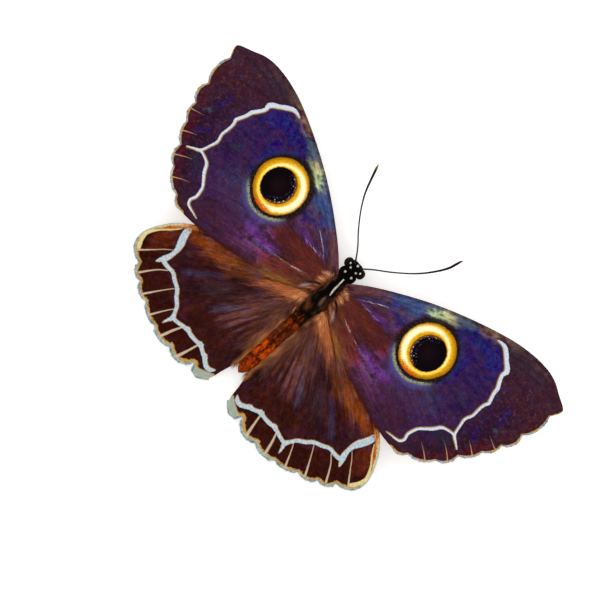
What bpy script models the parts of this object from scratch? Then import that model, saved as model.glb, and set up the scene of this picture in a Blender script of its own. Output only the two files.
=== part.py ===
"""An owl butterfly at rest, life size: wings spread flat, standing on its four walking legs.

The animal faces -Y and its left side is +X.  Sizes are in millimetres and are turned into metres
where a mesh is made.  A plan point is (across, ahead): across is the distance from the middle of
the body, and ahead is the distance towards the head from the middle of the wing roots.
"""

import math

import bmesh
import bpy
import numpy as np
from mathutils import Vector
from mathutils.geometry import delaunay_2d_cdt

MM = 0.001
GAP = 0.3                      # air between two nodes that meet
MIDDLE_AHEAD = -4.95           # where the origin is: the middle of the animal's length

# --- body -----------------------------------------------------------------------------------
# Each station of a body part is (ahead, height of its middle, half width, half height).
THORAX = [
    (6.15, 7.50, 0.90, 1.00), (5.90, 7.50, 1.70, 1.90), (5.00, 7.50, 2.35, 2.70),
    (3.20, 7.50, 2.80, 3.30), (1.00, 7.45, 3.05, 3.55), (-1.50, 7.40, 3.10, 3.55),
    (-4.00, 7.30, 3.00, 3.30), (-6.20, 7.15, 2.70, 2.85), (-7.80, 7.05, 2.15, 2.20),
    (-8.60, 7.00, 1.20, 1.20),
]
COLLAR = [
    (8.70, 7.40, 1.50, 1.30), (8.20, 7.40, 2.30, 1.75), (7.20, 7.45, 2.70, 2.10),
    (6.20, 7.50, 2.55, 2.25), (5.60, 7.50, 1.90, 2.00),
]
HEAD_MIDDLE = (9.85, 7.35)     # ahead, height
HEAD_HALF = (2.20, 1.75, 1.80)  # across, along, up
EYE_MIDDLE = (2.20, 9.75, 7.30)
EYE_HALF = (1.42, 1.45, 1.55)
ABDOMEN_START, ABDOMEN_END = -7.60, -32.70
ABDOMEN_SEGMENTS = 8
ABDOMEN_PROFILE = [            # (share of its length, height, half width, half height)
    (0.00, 6.95, 1.80, 1.90), (0.10, 6.85, 2.30, 2.35), (0.35, 6.50, 2.15, 2.25),
    (0.65, 6.05, 2.00, 2.10), (0.85, 5.75, 1.90, 1.85), (0.95, 5.60, 1.55, 1.45),
    (1.00, 5.55, 0.55, 0.50),
]
SEGMENT_GROOVE = 0.06          # share of its radius that the abdomen narrows between segments
BODY_SIDES = 20
ABDOMEN_SIDES = 16

# --- head parts and legs: a limb is a list of (across, ahead, height, radius) --------------------
ANTENNA_LEFT = [
    (0.95, 10.50, 8.60, 0.38), (1.70, 11.70, 8.95, 0.26), (3.95, 14.35, 9.40, 0.25),
    (7.15, 17.40, 10.00, 0.25), (10.75, 21.50, 10.60, 0.26), (13.30, 25.25, 11.10, 0.30),
    (14.95, 28.80, 11.50, 0.37), (16.00, 31.30, 11.75, 0.42), (16.50, 32.50, 11.90, 0.34),
    (16.80, 33.15, 12.00, 0.14),
]
ANTENNA_RIGHT = [
    (0.95, 10.50, 8.60, 0.38), (1.75, 11.35, 8.95, 0.26), (3.90, 13.45, 9.40, 0.25),
    (7.30, 16.30, 10.00, 0.25), (10.85, 19.70, 10.60, 0.26), (13.40, 22.70, 11.00, 0.29),
    (15.50, 25.90, 11.35, 0.34), (16.90, 28.70, 11.65, 0.40), (17.50, 31.10, 11.85, 0.42),
    (17.75, 32.20, 11.95, 0.32), (18.05, 32.80, 12.00, 0.14),
]
PALP = [
    (0.62, 10.30, 5.30, 0.34), (0.64, 11.20, 5.00, 0.46), (0.62, 11.62, 5.80, 0.44),
    (0.58, 11.72, 6.60, 0.30), (0.56, 11.80, 7.05, 0.12),
]
FORELEG = [                    # the first pair is short and folded against the chest
    (1.10, 4.40, 4.60, 0.40), (1.45, 6.00, 3.95, 0.44), (1.62, 7.85, 4.10, 0.34),
    (1.55, 8.20, 3.60, 0.30), (1.45, 7.00, 3.05, 0.32), (1.35, 5.60, 2.80, 0.26),
]
MIDLEG = [                     # hip, thigh, knee, shin, and the foot lying on the ground
    (1.20, 1.60, 4.50, 0.62), (1.95, 2.05, 3.95, 0.50), (2.60, 2.45, 4.15, 0.46),
    (4.20, 3.45, 5.05, 0.52), (5.70, 4.40, 5.90, 0.42), (6.25, 4.78, 5.80, 0.36),
    (6.70, 5.15, 5.20, 0.35), (7.80, 6.05, 3.10, 0.34), (8.95, 6.95, 0.95, 0.30),
    (9.35, 7.25, 0.42, 0.28), (10.30, 7.90, 0.26, 0.28), (11.60, 8.80, 0.25, 0.27),
    (12.15, 9.18, 0.22, 0.20),
]
HINDLEG = [
    (1.20, -3.60, 4.40, 0.62), (1.90, -4.20, 3.85, 0.50), (2.40, -4.90, 4.05, 0.46),
    (3.70, -6.75, 4.85, 0.52), (5.05, -8.65, 5.45, 0.42), (5.55, -9.35, 5.30, 0.36),
    (5.95, -10.00, 4.70, 0.35), (6.95, -11.70, 2.75, 0.34), (7.95, -13.35, 0.90, 0.30),
    (8.30, -14.00, 0.42, 0.28), (9.00, -15.20, 0.26, 0.28), (9.90, -16.80, 0.25, 0.27),
    (10.22, -17.38, 0.22, 0.20),
]
TONGUE_ROOT = (10.70, 5.60)    # ahead, height
TONGUE_MIDDLE = (9.55, 3.70)
TONGUE_TURNS = 1.6
TONGUE_STEPS = 14              # points in one turn
TONGUE_START = math.radians(20)
TONGUE_OUTER, TONGUE_INNER = 1.30, 0.45
TONGUE_RADIUS = 0.26

# --- wings, in plan ---------------------------------------------------------------------------------
MEMBRANE = 0.5                 # thickness of the wing between its veins
VEIN_RISE_TOP, VEIN_RISE_UNDER = 0.30, 0.14
VEIN_HALF_WIDTH = 0.60
VEIN_TAPER = 0.50              # share of its thickness that a vein loses from the root to the wing tip
WING_REACH = 71.0
FORE_ROOT_HEIGHT = 9.35
HIND_ROOT_HEIGHT = 8.10
ROOT_ACROSS = 3.0
WING_RISE = 0.080              # rise for each millimetre outwards from ROOT_ACROSS
TIP_CAMBER = 0.00035           # the outer wing bends down again, by the square of the distance out
DROOP_AHEAD = 8.0
WING_DROOP = 0.0014            # fall towards the tail, by the square of the distance behind DROOP_AHEAD
GUTTER_ACROSS = 1.9            # the inner edge of the hindwing turns down here, beside the abdomen
GUTTER_WIDTH = 1.9
GUTTER_DEPTH = 1.9
GUTTER_START, GUTTER_FULL = -7.0, -13.0

FORE_COSTA = [
    (1.0, 4.4), (3.0, 6.6), (9.0, 11.4), (20.0, 18.4), (31.0, 23.9), (42.0, 28.2), (49.0, 29.9),
    (54.5, 30.3), (58.5, 29.7), (62.0, 28.1), (65.3, 26.6), (66.2, 25.6), (65.8, 24.1), (64.85, 22.3),
]
FORE_NOTCHES = [
    (64.85, 22.3), (63.65, 13.4), (62.1, 7.3), (59.95, 2.2), (56.4, -3.3), (53.3, -8.6),
    (47.1, -13.1), (42.5, -15.2),
]
FORE_LOBES = [1.05, 1.05, 0.55, 0.50, 0.80, 0.75, 0.70]
FORE_TRAILING = [
    (42.5, -15.2), (38.0, -14.9), (30.0, -13.5), (20.0, -10.8), (12.0, -8.0), (6.5, -4.6),
    (3.0, -2.0), (1.0, -1.4),
]
HIND_COSTA = [
    (1.0, -2.4), (6.0, -1.2), (14.0, -2.8), (24.0, -6.8), (33.0, -11.6), (38.4, -15.4),
    (41.2, -18.0), (43.6, -21.4), (45.2, -25.0), (45.7, -27.6), (45.1, -29.4), (43.4, -31.4),
    (40.3, -33.0),
]
HIND_NOTCHES = [(40.3, -33.0), (36.4, -36.1), (31.2, -38.7), (24.6, -41.4), (17.6, -42.0), (10.3, -40.3)]
HIND_LOBES = [0.85, 0.70, 0.50, 1.00, 1.75]
HIND_INNER = [
    (10.3, -40.3), (9.5, -40.3), (8.6, -41.6), (7.1, -42.0), (5.3, -41.4), (4.1, -40.2), (3.6, -38.6),
    (3.2, -36.2), (2.5, -33.2), (2.0, -30.6), (1.9, -26.0), (1.9, -20.0), (2.0, -12.0), (1.5, -8.2),
    (1.0, -7.0),
]

FORE_VEINS = {
    "costa": [(2.0, 4.9), (9.2, 10.9), (20.2, 17.9), (31.2, 23.4), (42.2, 27.6), (49.2, 29.3), (54.4, 29.7)],
    "subcosta": [(2.0, 4.2), (12.0, 10.9), (22.0, 16.7), (32.0, 22.2), (37.5, 25.6)],
    "radius": [(2.0, 3.6), (12.0, 9.4), (22.0, 14.8), (28.0, 17.8)],
    "radius_1": [(23.0, 15.3), (34.0, 21.6), (44.0, 26.9)],
    "radius_2": [(28.0, 17.8), (38.0, 22.9), (48.0, 27.6), (51.0, 28.9)],
    "radius_3": [(40.0, 23.4), (50.0, 26.9), (59.5, 28.6)],
    "radius_4": [(44.0, 23.4), (55.0, 25.9), (64.8, 25.6)],
    "radius_5": [(28.0, 17.8), (36.0, 20.9), (44.0, 23.4), (54.0, 21.6), (64.4, 17.2)],
    "media_1": [(29.8, 16.2), (46.0, 17.2), (56.0, 14.6), (63.2, 11.1)],
    "media_2": [(30.8, 12.6), (46.0, 11.9), (55.0, 8.9), (61.0, 5.3)],
    "media_3": [(29.0, 8.2), (44.0, 6.9), (52.0, 3.9), (58.0, 0.2)],
    "cubitus_1": [(24.5, 4.4), (40.0, 2.3), (48.0, -1.2), (54.6, -5.5)],
    "cubitus_2": [(16.5, 2.0), (33.0, -1.8), (42.0, -5.3), (50.5, -10.3)],
    "cubitus": [(2.0, 2.2), (9.0, 2.0), (16.5, 2.0), (24.5, 4.4), (29.0, 8.2)],
    "cell_end": [(28.0, 17.8), (29.8, 16.2), (30.8, 12.6), (29.0, 8.2)],
    "anal": [(2.0, 0.6), (9.0, -2.6), (18.0, -6.6), (31.0, -10.9), (44.6, -14.2)],
}
HIND_VEINS = {
    "subcosta": [(2.0, -3.2), (14.0, -5.4), (26.0, -10.4), (36.0, -16.4), (41.4, -20.9), (44.3, -26.2)],
    "radius": [(2.0, -4.0), (10.0, -6.9), (17.0, -11.0)],
    "radius_sector": [(10.0, -6.9), (21.0, -11.6), (30.0, -16.9), (36.8, -23.5), (42.8, -30.4)],
    "media_1": [(17.0, -11.0), (26.0, -19.0), (34.2, -28.5), (38.1, -34.0)],
    "media_2": [(19.0, -13.8), (24.5, -22.4), (28.5, -30.6), (33.1, -37.2)],
    "media_3": [(18.6, -17.4), (22.0, -26.0), (24.7, -34.2), (27.7, -39.8)],
    "cubitus_1": [(15.5, -17.0), (18.0, -27.0), (19.5, -36.5), (21.0, -41.6)],
    "cubitus_2": [(11.0, -13.0), (12.4, -25.0), (13.2, -36.5), (14.0, -41.8)],
    "cubitus": [(2.0, -5.0), (7.0, -8.4), (11.0, -13.0), (15.5, -17.0), (18.6, -17.4)],
    "cell_end": [(17.0, -11.0), (19.0, -13.8), (18.6, -17.4)],
    "anal_2": [(2.4, -6.4), (6.0, -15.0), (8.0, -27.0), (8.2, -36.0), (7.3, -41.0)],
    "anal_3": [(2.8, -9.0), (4.4, -17.0), (5.0, -27.0), (4.8, -36.0), (4.9, -40.0)],
}

# --- looks: linear colour and roughness ---------------------------------------------------------
LOOKS = {
    "forewing_scales": ((0.075, 0.022, 0.085), 0.6),
    "hindwing_scales": ((0.090, 0.028, 0.030), 0.6),
    "black_fur": ((0.012, 0.008, 0.009), 0.8),
    "thorax_fur": ((0.030, 0.018, 0.014), 0.8),
    "abdomen_scales": ((0.420, 0.090, 0.012), 0.7),
    "compound_eye": ((0.015, 0.008, 0.010), 0.2),
    "horn": ((0.030, 0.018, 0.016), 0.45),
    "leg_horn": ((0.060, 0.032, 0.020), 0.5),
}

# --- how finely the wings are divided -------------------------------------------------------------
VEIN_STEP = 4.0
EDGE_STEP = 3.2
LOBE_STEPS = 6
LOBE_ROUNDNESS = 0.75          # under 1 makes a lobe fuller than a sine wave
FILL_STEP = 4.5                # spacing of the points between the veins
FILL_CLEAR = 1.4               # how far they stay from veins and edges


def smooth_line(points, step):
    """Points about `step` apart on a Catmull-Rom curve through `points`, of any dimension."""
    keys = [np.array(p, float) for p in points]
    keys = [2 * keys[0] - keys[1], *keys, 2 * keys[-1] - keys[-2]]
    line = []
    for a, b, c, d in zip(keys, keys[1:], keys[2:], keys[3:]):
        count = max(1, round(float(np.linalg.norm((c - b)[:3])) / step))
        for i in range(count):
            t = i / count
            bend = (c - a) * t + (2 * a - 5 * b + 4 * c - d) * t**2 + (3 * b - a - 3 * c + d) * t**3
            line.append(b + bend / 2)
    line.append(keys[-2])
    return line


def lobed_line(notches, lobes):
    """A scalloped edge: from each notch to the next it bulges outwards by the lobe's height."""
    line = []
    for start, end, height in zip(notches, notches[1:], lobes):
        a, b = np.array(start, float), np.array(end, float)
        along = b - a
        outward = np.array((-along[1], along[0])) / np.linalg.norm(along)
        for i in range(LOBE_STEPS):
            t = i / LOBE_STEPS
            line.append(a + along * t + outward * height * math.sin(math.pi * t) ** LOBE_ROUNDNESS)
    line.append(np.array(notches[-1], float))
    return line


def wing_outline(costa, notches, lobes, inner):
    """The whole edge of a wing in plan, clockwise from the front of its root."""
    front = smooth_line(costa, EDGE_STEP)[:-1]
    outer = lobed_line(notches, lobes)[:-1]
    back = smooth_line(inner, EDGE_STEP)
    return [tuple(p) for p in front + outer + back]


def smooth_step(value, low, high):
    t = np.clip((value - low) / (high - low), 0, 1)
    return t * t * (3 - 2 * t)


def wing_height(across, ahead, root_height):
    """Height of the upper face of the membrane over a plan point."""
    out = np.maximum(across - ROOT_ACROSS, 0)
    behind = np.maximum(DROOP_AHEAD - ahead, 0)
    height = root_height + WING_RISE * out - TIP_CAMBER * out**2 - WING_DROOP * behind**2
    if root_height == FORE_ROOT_HEIGHT:
        return height
    inner_edge = np.exp(-(((across - GUTTER_ACROSS) / GUTTER_WIDTH) ** 2))
    return height - GUTTER_DEPTH * inner_edge * smooth_step(-ahead, -GUTTER_START, -GUTTER_FULL)


def vein_lines(veins):
    return [np.array(smooth_line(points, VEIN_STEP)) for points in veins.values()]


def vein_thickness(points):
    """1 at the wing's root, less towards its tip."""
    return 1 - VEIN_TAPER * np.linalg.norm(points, axis=-1) / WING_REACH


def distance_to_lines(points, lines):
    """Distance from each plan point to the nearest of some lines of plan points."""
    best = np.full(len(points), np.inf)
    for line in lines:
        for a, b in zip(line, line[1:]):
            along = b - a
            t = np.clip(((points - a) @ along) / max(float(along @ along), 1e-9), 0, 1)
            best = np.minimum(best, np.linalg.norm(points - a - t[:, None] * along, axis=1))
    return best


def beside(line, sign):
    """The foot of a vein's ridge on one side, ending short of the vein's own end."""
    along = np.gradient(line, axis=0)
    along /= np.linalg.norm(along, axis=1)[:, None]
    sideways = np.column_stack((-along[:, 1], along[:, 0]))
    return (line + sideways * (sign * VEIN_HALF_WIDTH * vein_thickness(line))[:, None])[:-1]


def inside(points, outline):
    """Which plan points lie within a closed outline."""
    x, y = points.T
    within = np.zeros(len(points), bool)
    for (x0, y0), (x1, y1) in zip(outline, outline[1:] + outline[:1]):
        if y0 != y1:
            within ^= ((y0 > y) != (y1 > y)) & (x < x0 + (y - y0) * (x1 - x0) / (y1 - y0))
    return within


def fill_points(outline, lines):
    """Points on a triangular grid in the open fields between the veins."""
    low, high = np.min(outline, axis=0), np.max(outline, axis=0)
    grid = []
    for k, y in enumerate(np.arange(low[1], high[1], FILL_STEP * math.sqrt(0.75))):
        shift = FILL_STEP / 2 * (k % 2)
        grid += [(x + shift, y) for x in np.arange(low[0], high[0], FILL_STEP)]
    grid = np.array(grid)
    edge = np.array([*outline, outline[0]])
    clear = distance_to_lines(grid, [*lines, edge]) > FILL_CLEAR
    return grid[clear & inside(grid, outline)]


def add_object(name, vertices, faces, collection):
    mesh = bpy.data.meshes.new(name)
    mesh.from_pydata([tuple(v) for v in vertices], [], faces)
    obj = bpy.data.objects.new(name, mesh)
    collection.objects.link(obj)
    return obj


def place(across, ahead, height):
    """A point of the animal in metres, in the part's own frame."""
    return Vector((across * MM, (MIDDLE_AHEAD - ahead) * MM, height * MM))


def make_wing(name, side, outline, veins, root_height, collection):
    """A closed wing whose veins are ridges in its own two faces."""
    lines = vein_lines(veins)
    points = [*outline, *fill_points(outline, lines)]
    edges = []
    for line in lines:
        for strand in (line, beside(line, 1), beside(line, -1)):
            edges += [(i, i + 1) for i in range(len(points), len(points) + len(strand) - 1)]
            points += list(strand)
    points = [Vector(p) for p in points]
    plan, _, faces, *_ = delaunay_2d_cdt(points, edges, [list(range(len(outline)))], 1, 1e-4, False)
    plan = np.array([tuple(p) for p in plan])
    top = wing_height(plan[:, 0], plan[:, 1], root_height)
    thickness = vein_thickness(plan)
    ridge = thickness * np.clip(1 - distance_to_lines(plan, lines) / (VEIN_HALF_WIDTH * thickness), 0, 1)
    upper = [place(side * x, y, z) for (x, y), z in zip(plan, top + VEIN_RISE_TOP * ridge)]
    under = [place(side * x, y, z) for (x, y), z in zip(plan, top - MEMBRANE - VEIN_RISE_UNDER * ridge)]
    size = len(plan)
    faces = [tuple(f) for f in faces]
    borders = {(a, b) for face in faces for a, b in zip(face, face[1:] + face[:1])}
    rim = [(a, b) for a, b in borders if (b, a) not in borders]
    shell = faces + [tuple(size + i for i in reversed(face)) for face in faces]
    shell += [(b, a, size + a) for a, b in rim] + [(b, size + a, size + b) for a, b in rim]
    wing = add_object(name, upper + under, shell, collection)
    tidy(wing)
    return wing


def tidy(obj):
    """Merges doubled points and points every face outwards."""
    work = bmesh.new()
    work.from_mesh(obj.data)
    bmesh.ops.remove_doubles(work, verts=work.verts, dist=0.004 * MM)
    loose = [v for v in work.verts if not v.link_faces]
    bmesh.ops.delete(work, geom=loose, context="VERTS")
    bmesh.ops.recalc_face_normals(work, faces=work.faces)
    work.to_mesh(obj.data)
    work.free()


def largest_surface(obj):
    """Keeps only the piece of a mesh with the most faces."""
    work = bmesh.new()
    work.from_mesh(obj.data)
    work.faces.ensure_lookup_table()
    left, pieces = set(work.faces), []
    while left:
        piece, front = set(), [left.pop()]
        while front:
            face = front.pop()
            piece.add(face)
            for edge in face.edges:
                for other in edge.link_faces:
                    if other in left:
                        left.discard(other)
                        front.append(other)
        pieces.append(piece)
    keep = max(pieces, key=len)
    bmesh.ops.delete(work, geom=[f for f in work.faces if f not in keep], context="FACES")
    work.to_mesh(obj.data)
    work.free()


def cut(obj, *cutters):
    """Takes the cutters' space out of a piece and keeps what is left in one closed body."""
    for cutter in cutters:
        modifier = obj.modifiers.new("cut", "BOOLEAN")
        modifier.operation = "DIFFERENCE"
        modifier.object = cutter
    bpy.context.view_layer.update()
    graph = bpy.context.evaluated_depsgraph_get()
    obj.data = bpy.data.meshes.new_from_object(obj.evaluated_get(graph))
    obj.modifiers.clear()
    largest_surface(obj)
    tidy(obj)


def loft(name, stations, collection, grow=0.0, sides=BODY_SIDES):
    """A body part through elliptical stations, closed at both ends.  `grow` fattens it all round."""
    rings, faces = [], []
    first, last = stations[0], stations[-1]
    step = 1 if first[0] > last[0] else -1
    grown = [(first[0] + grow * step, *first[1:])] * (grow > 0) + list(stations)
    grown += [(last[0] - grow * step, *last[1:])] * (grow > 0)
    for ahead, height, half_width, half_height in grown:
        for i in range(sides):
            turn = 2 * math.pi * (i + 0.5) / sides
            across = (half_width + grow) * math.cos(turn)
            rings.append(place(across, ahead, height + (half_height + grow) * math.sin(turn)))
    for k in range(len(grown) - 1):
        for i in range(sides):
            j = (i + 1) % sides
            faces.append((k * sides + i, k * sides + j, (k + 1) * sides + j, (k + 1) * sides + i))
    faces.append(tuple(range(sides)))
    faces.append(tuple(range((len(grown) - 1) * sides, len(grown) * sides)))
    obj = add_object(name, rings, faces, collection)
    tidy(obj)
    return obj


def abdomen_stations():
    """Stations three to a segment, pinched where two segments meet."""
    length = ABDOMEN_START - ABDOMEN_END
    profile = np.array(ABDOMEN_PROFILE)
    stations = []
    for i in range(3 * ABDOMEN_SEGMENTS + 1):
        share = i / (3 * ABDOMEN_SEGMENTS)
        height, half_width, half_height = (np.interp(share, profile[:, 0], profile[:, k]) for k in (1, 2, 3))
        pinch = 1 - SEGMENT_GROOVE * (i % 3 == 0) * (0 < i < 3 * ABDOMEN_SEGMENTS)
        stations.append((ABDOMEN_START - share * length, height, half_width * pinch, half_height * pinch))
    return stations


def ball(name, middle, halves, collection, grow=0.0, segments=20, rings=12):
    """An egg-shaped solid from a UV sphere."""
    bpy.ops.mesh.primitive_uv_sphere_add(segments=segments, ring_count=rings, radius=1)
    obj = bpy.context.object
    obj.name = name
    across, along, up = ((half + grow) * MM for half in halves)
    for vertex in obj.data.vertices:
        x, y, z = vertex.co
        vertex.co = Vector((x * across, y * along, z * up)) + place(*middle)
    obj.data.update()
    for home in obj.users_collection:
        home.objects.unlink(obj)
    collection.objects.link(obj)
    return obj


def limb(name, side, stations, collection, step):
    """A tapering tube through stations of (across, ahead, height, radius), flat where it meets the ground."""
    path = smooth_line(stations, step)
    curve = bpy.data.curves.new(name, "CURVE")
    curve.dimensions = "3D"
    curve.bevel_depth = MM
    curve.bevel_resolution = 2
    curve.use_fill_caps = True
    spline = curve.splines.new("POLY")
    spline.points.add(len(path) - 1)
    for point, (across, ahead, height, radius) in zip(spline.points, path):
        point.co = (*place(side * across, ahead, height), 1)
        point.radius = radius
    guide = bpy.data.objects.new(name + "_path", curve)
    collection.objects.link(guide)
    bpy.context.view_layer.update()
    graph = bpy.context.evaluated_depsgraph_get()
    mesh = bpy.data.meshes.new_from_object(guide.evaluated_get(graph))
    obj = bpy.data.objects.new(name, mesh)
    obj.matrix_world = guide.matrix_world
    collection.objects.link(obj)
    bpy.data.objects.remove(guide)
    for vertex in mesh.vertices:
        vertex.co.z = max(vertex.co.z, 0.0)
    tidy(obj)
    return obj


def tongue_stations():
    """The coiled tongue: down from the mouth, then a spiral in the middle plane."""
    stations = [(0.0, *TONGUE_ROOT, TONGUE_RADIUS)]
    steps = round(TONGUE_TURNS * TONGUE_STEPS)
    for i in range(steps + 1):
        share = i / steps
        turn = TONGUE_START - 2 * math.pi * TONGUE_TURNS * share
        radius = TONGUE_OUTER + (TONGUE_INNER - TONGUE_OUTER) * share
        ahead = TONGUE_MIDDLE[0] + radius * math.cos(turn)
        height = TONGUE_MIDDLE[1] + radius * math.sin(turn)
        stations.append((0.0, ahead, height, TONGUE_RADIUS))
    return stations


def material(name, colour, roughness):
    made = bpy.data.materials.new(name)
    made.use_nodes = True
    shader = made.node_tree.nodes["Principled BSDF"]
    shader.inputs["Base Color"].default_value = (*colour, 1)
    shader.inputs["Roughness"].default_value = roughness
    shader.inputs["Metallic"].default_value = 0
    made.diffuse_color = (*colour, 1)
    return made


def finish(obj, look):
    obj.data.materials.clear()
    obj.data.materials.append(look)
    obj.data.shade_smooth()
    obj.data.set_sharp_from_angle(angle=math.radians(45))


def clear_scene():
    for obj in list(bpy.data.objects):
        bpy.data.objects.remove(obj)


def new_collection(name, hidden=False):
    made = bpy.data.collections.new(name)
    made.hide_render = hidden
    bpy.context.scene.collection.children.link(made)
    return made


def build():
    clear_scene()
    animal = new_collection("owl_butterfly")
    cutters = new_collection("cutters", hidden=True)
    looks = {name: material(name, *values) for name, values in LOOKS.items()}
    thorax_room = loft("thorax_room", THORAX, cutters, grow=GAP)
    head_room = ball("head_room", (0, *HEAD_MIDDLE), HEAD_HALF, cutters, grow=GAP)
    abdomen_room = loft("abdomen_room", abdomen_stations()[1:], cutters, grow=GAP, sides=ABDOMEN_SIDES)

    finish(loft("thorax", THORAX, animal), looks["thorax_fur"])
    finish(ball("head", (0, *HEAD_MIDDLE), HEAD_HALF, animal), looks["black_fur"])
    abdomen = loft("abdomen", abdomen_stations(), animal, sides=ABDOMEN_SIDES)
    cut(abdomen, thorax_room)
    finish(abdomen, looks["abdomen_scales"])
    collar = loft("collar", COLLAR, animal)
    cut(collar, thorax_room, head_room)
    finish(collar, looks["black_fur"])
    tongue = limb("tongue", 1, tongue_stations(), animal, step=0.6)
    cut(tongue, head_room)
    finish(tongue, looks["horn"])

    fore_edge = wing_outline(FORE_COSTA, FORE_NOTCHES, FORE_LOBES, FORE_TRAILING)
    hind_edge = wing_outline(HIND_COSTA, HIND_NOTCHES, HIND_LOBES, HIND_INNER)
    for word, side, antenna in (("left", 1, ANTENNA_LEFT), ("right", -1, ANTENNA_RIGHT)):
        across, ahead, height = EYE_MIDDLE
        eye = ball(f"eye_{word}", (side * across, ahead, height), EYE_HALF, animal, segments=16, rings=10)
        cut(eye, head_room)
        finish(eye, looks["compound_eye"])
        for part, stations, room, step, look in (
            ("antenna", antenna, head_room, 2.4, "horn"),
            ("palp", PALP, head_room, 0.6, "black_fur"),
            ("foreleg", FORELEG, thorax_room, 1.0, "leg_horn"),
            ("midleg", MIDLEG, thorax_room, 1.2, "leg_horn"),
            ("hindleg", HINDLEG, thorax_room, 1.2, "leg_horn"),
        ):
            piece = limb(f"{part}_{word}", side, stations, animal, step)
            cut(piece, room)
            finish(piece, looks[look])
        forewing = make_wing(f"forewing_{word}", side, fore_edge, FORE_VEINS, FORE_ROOT_HEIGHT, animal)
        cut(forewing, thorax_room)
        finish(forewing, looks["forewing_scales"])
        hindwing = make_wing(f"hindwing_{word}", side, hind_edge, HIND_VEINS, HIND_ROOT_HEIGHT, animal)
        cut(hindwing, thorax_room, abdomen_room)
        finish(hindwing, looks["hindwing_scales"])
    for guide in cutters.objects:
        guide.hide_render = True
        guide.display_type = "WIRE"


build()
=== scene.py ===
"""A life-size owl butterfly, dressed round its solids: wings of scales, a coat of hair, eyes and legs.

The file is laid out as an add-on.  The animal faces -Y and its left side is +X.  Sizes are in
millimetres and are turned into metres where a mesh is made.  A plan point is (across, ahead):
across is the distance from the middle of the body, and ahead is the distance towards the head
from the middle of the wing roots.
"""

import functools
import math

import bpy
import numpy as np
from bpy.props import FloatProperty, FloatVectorProperty, IntProperty, PointerProperty
from mathutils import Matrix, Vector, noise


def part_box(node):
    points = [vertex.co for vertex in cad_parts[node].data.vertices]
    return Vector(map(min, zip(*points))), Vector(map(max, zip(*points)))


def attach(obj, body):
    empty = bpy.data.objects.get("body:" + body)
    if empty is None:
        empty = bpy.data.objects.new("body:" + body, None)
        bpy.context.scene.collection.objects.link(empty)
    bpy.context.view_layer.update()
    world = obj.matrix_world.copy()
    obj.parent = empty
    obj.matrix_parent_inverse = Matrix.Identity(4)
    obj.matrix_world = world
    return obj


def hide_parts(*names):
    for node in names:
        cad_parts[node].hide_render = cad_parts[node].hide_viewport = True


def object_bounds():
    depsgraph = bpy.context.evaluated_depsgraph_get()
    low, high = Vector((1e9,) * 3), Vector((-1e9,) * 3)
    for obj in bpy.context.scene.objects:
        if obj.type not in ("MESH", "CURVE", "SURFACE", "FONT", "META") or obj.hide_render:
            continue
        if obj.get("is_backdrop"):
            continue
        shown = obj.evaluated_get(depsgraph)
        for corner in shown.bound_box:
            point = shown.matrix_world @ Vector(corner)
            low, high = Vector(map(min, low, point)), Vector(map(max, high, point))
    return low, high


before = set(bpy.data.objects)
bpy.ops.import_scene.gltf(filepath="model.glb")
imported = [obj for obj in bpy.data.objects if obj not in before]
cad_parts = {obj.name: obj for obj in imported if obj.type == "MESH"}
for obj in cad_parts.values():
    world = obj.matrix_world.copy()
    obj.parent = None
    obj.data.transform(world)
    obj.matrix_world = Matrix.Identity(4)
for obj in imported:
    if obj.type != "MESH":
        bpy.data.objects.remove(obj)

bl_info = {
    "name": "Owl Butterfly",
    "version": (1, 0, 0),
    "blender": (4, 5, 0),
    "location": "3D View > Sidebar > Butterfly",
    "description": "Builds a life-size owl butterfly with scaled wings and a coat of hair",
    "category": "Add Mesh",
}

CAD_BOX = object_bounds()
MM = 0.001
HEAD_FRONT = 11.6              # how far ahead the solid head reaches
MIDDLE_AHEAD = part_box("head")[0].y / MM + HEAD_FRONT
SIDES = (("left", 1), ("right", -1))
FAR = 99.0                     # a gap that no marking reaches
WING_GLOSS, SKIN_GLOSS, HORN_GLOSS, EYE_GLOSS, FLOOR_GLOSS = 0.015, 0.03, 0.08, 0.06, 0.1

# --- wing outlines, in plan ---
FORE_FRONT = [
    (1, 4.4), (3, 6.6), (9, 11.4), (20, 18.4), (31, 23.9), (42, 28.2), (49, 29.9), (54.5, 30.3),
    (58.5, 29.7), (62, 28.1), (65.3, 26.6), (66.2, 25.6), (65.8, 24.1), (64.85, 22.3),
]
FORE_NOTCHES = [
    (64.85, 22.3), (63.65, 13.4), (62.1, 7.3), (59.95, 2.2), (56.4, -3.3), (53.3, -8.6), (47.1, -13.1),
    (42.5, -15.2),
]
FORE_LOBES = [1.05, 1.05, 0.55, 0.5, 0.8, 0.75, 0.7]
FORE_BACK = [
    (42.5, -15.2), (38, -14.9), (30, -13.5), (20, -10.8), (12, -8), (6.5, -4.6), (3, -2), (1, -1.4),
]
HIND_FRONT = [
    (1, -2.4), (6, -1.2), (14, -2.8), (24, -6.8), (33, -11.6), (38.4, -15.4), (41.2, -18), (43.6, -21.4),
    (45.2, -25), (45.7, -27.6), (45.1, -29.4), (43.4, -31.4), (40.3, -33),
]
HIND_NOTCHES = [(40.3, -33), (36.4, -36.1), (31.2, -38.7), (24.6, -41.4), (17.6, -42), (10.3, -40.3)]
HIND_LOBES = [0.85, 0.7, 0.5, 1, 1.75]
HIND_ANAL = [(10.3, -40.3), (9.5, -40.3), (8.6, -41.6), (7.1, -42), (5.3, -41.4), (4.1, -40.2)]
HIND_BACK = [
    (4.1, -40.2), (3.6, -38.6), (3.2, -36.2), (2.5, -33.2), (2, -30.6), (1.9, -26), (1.9, -20), (2, -12),
    (1.5, -8.2), (1, -7),
]
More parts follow.
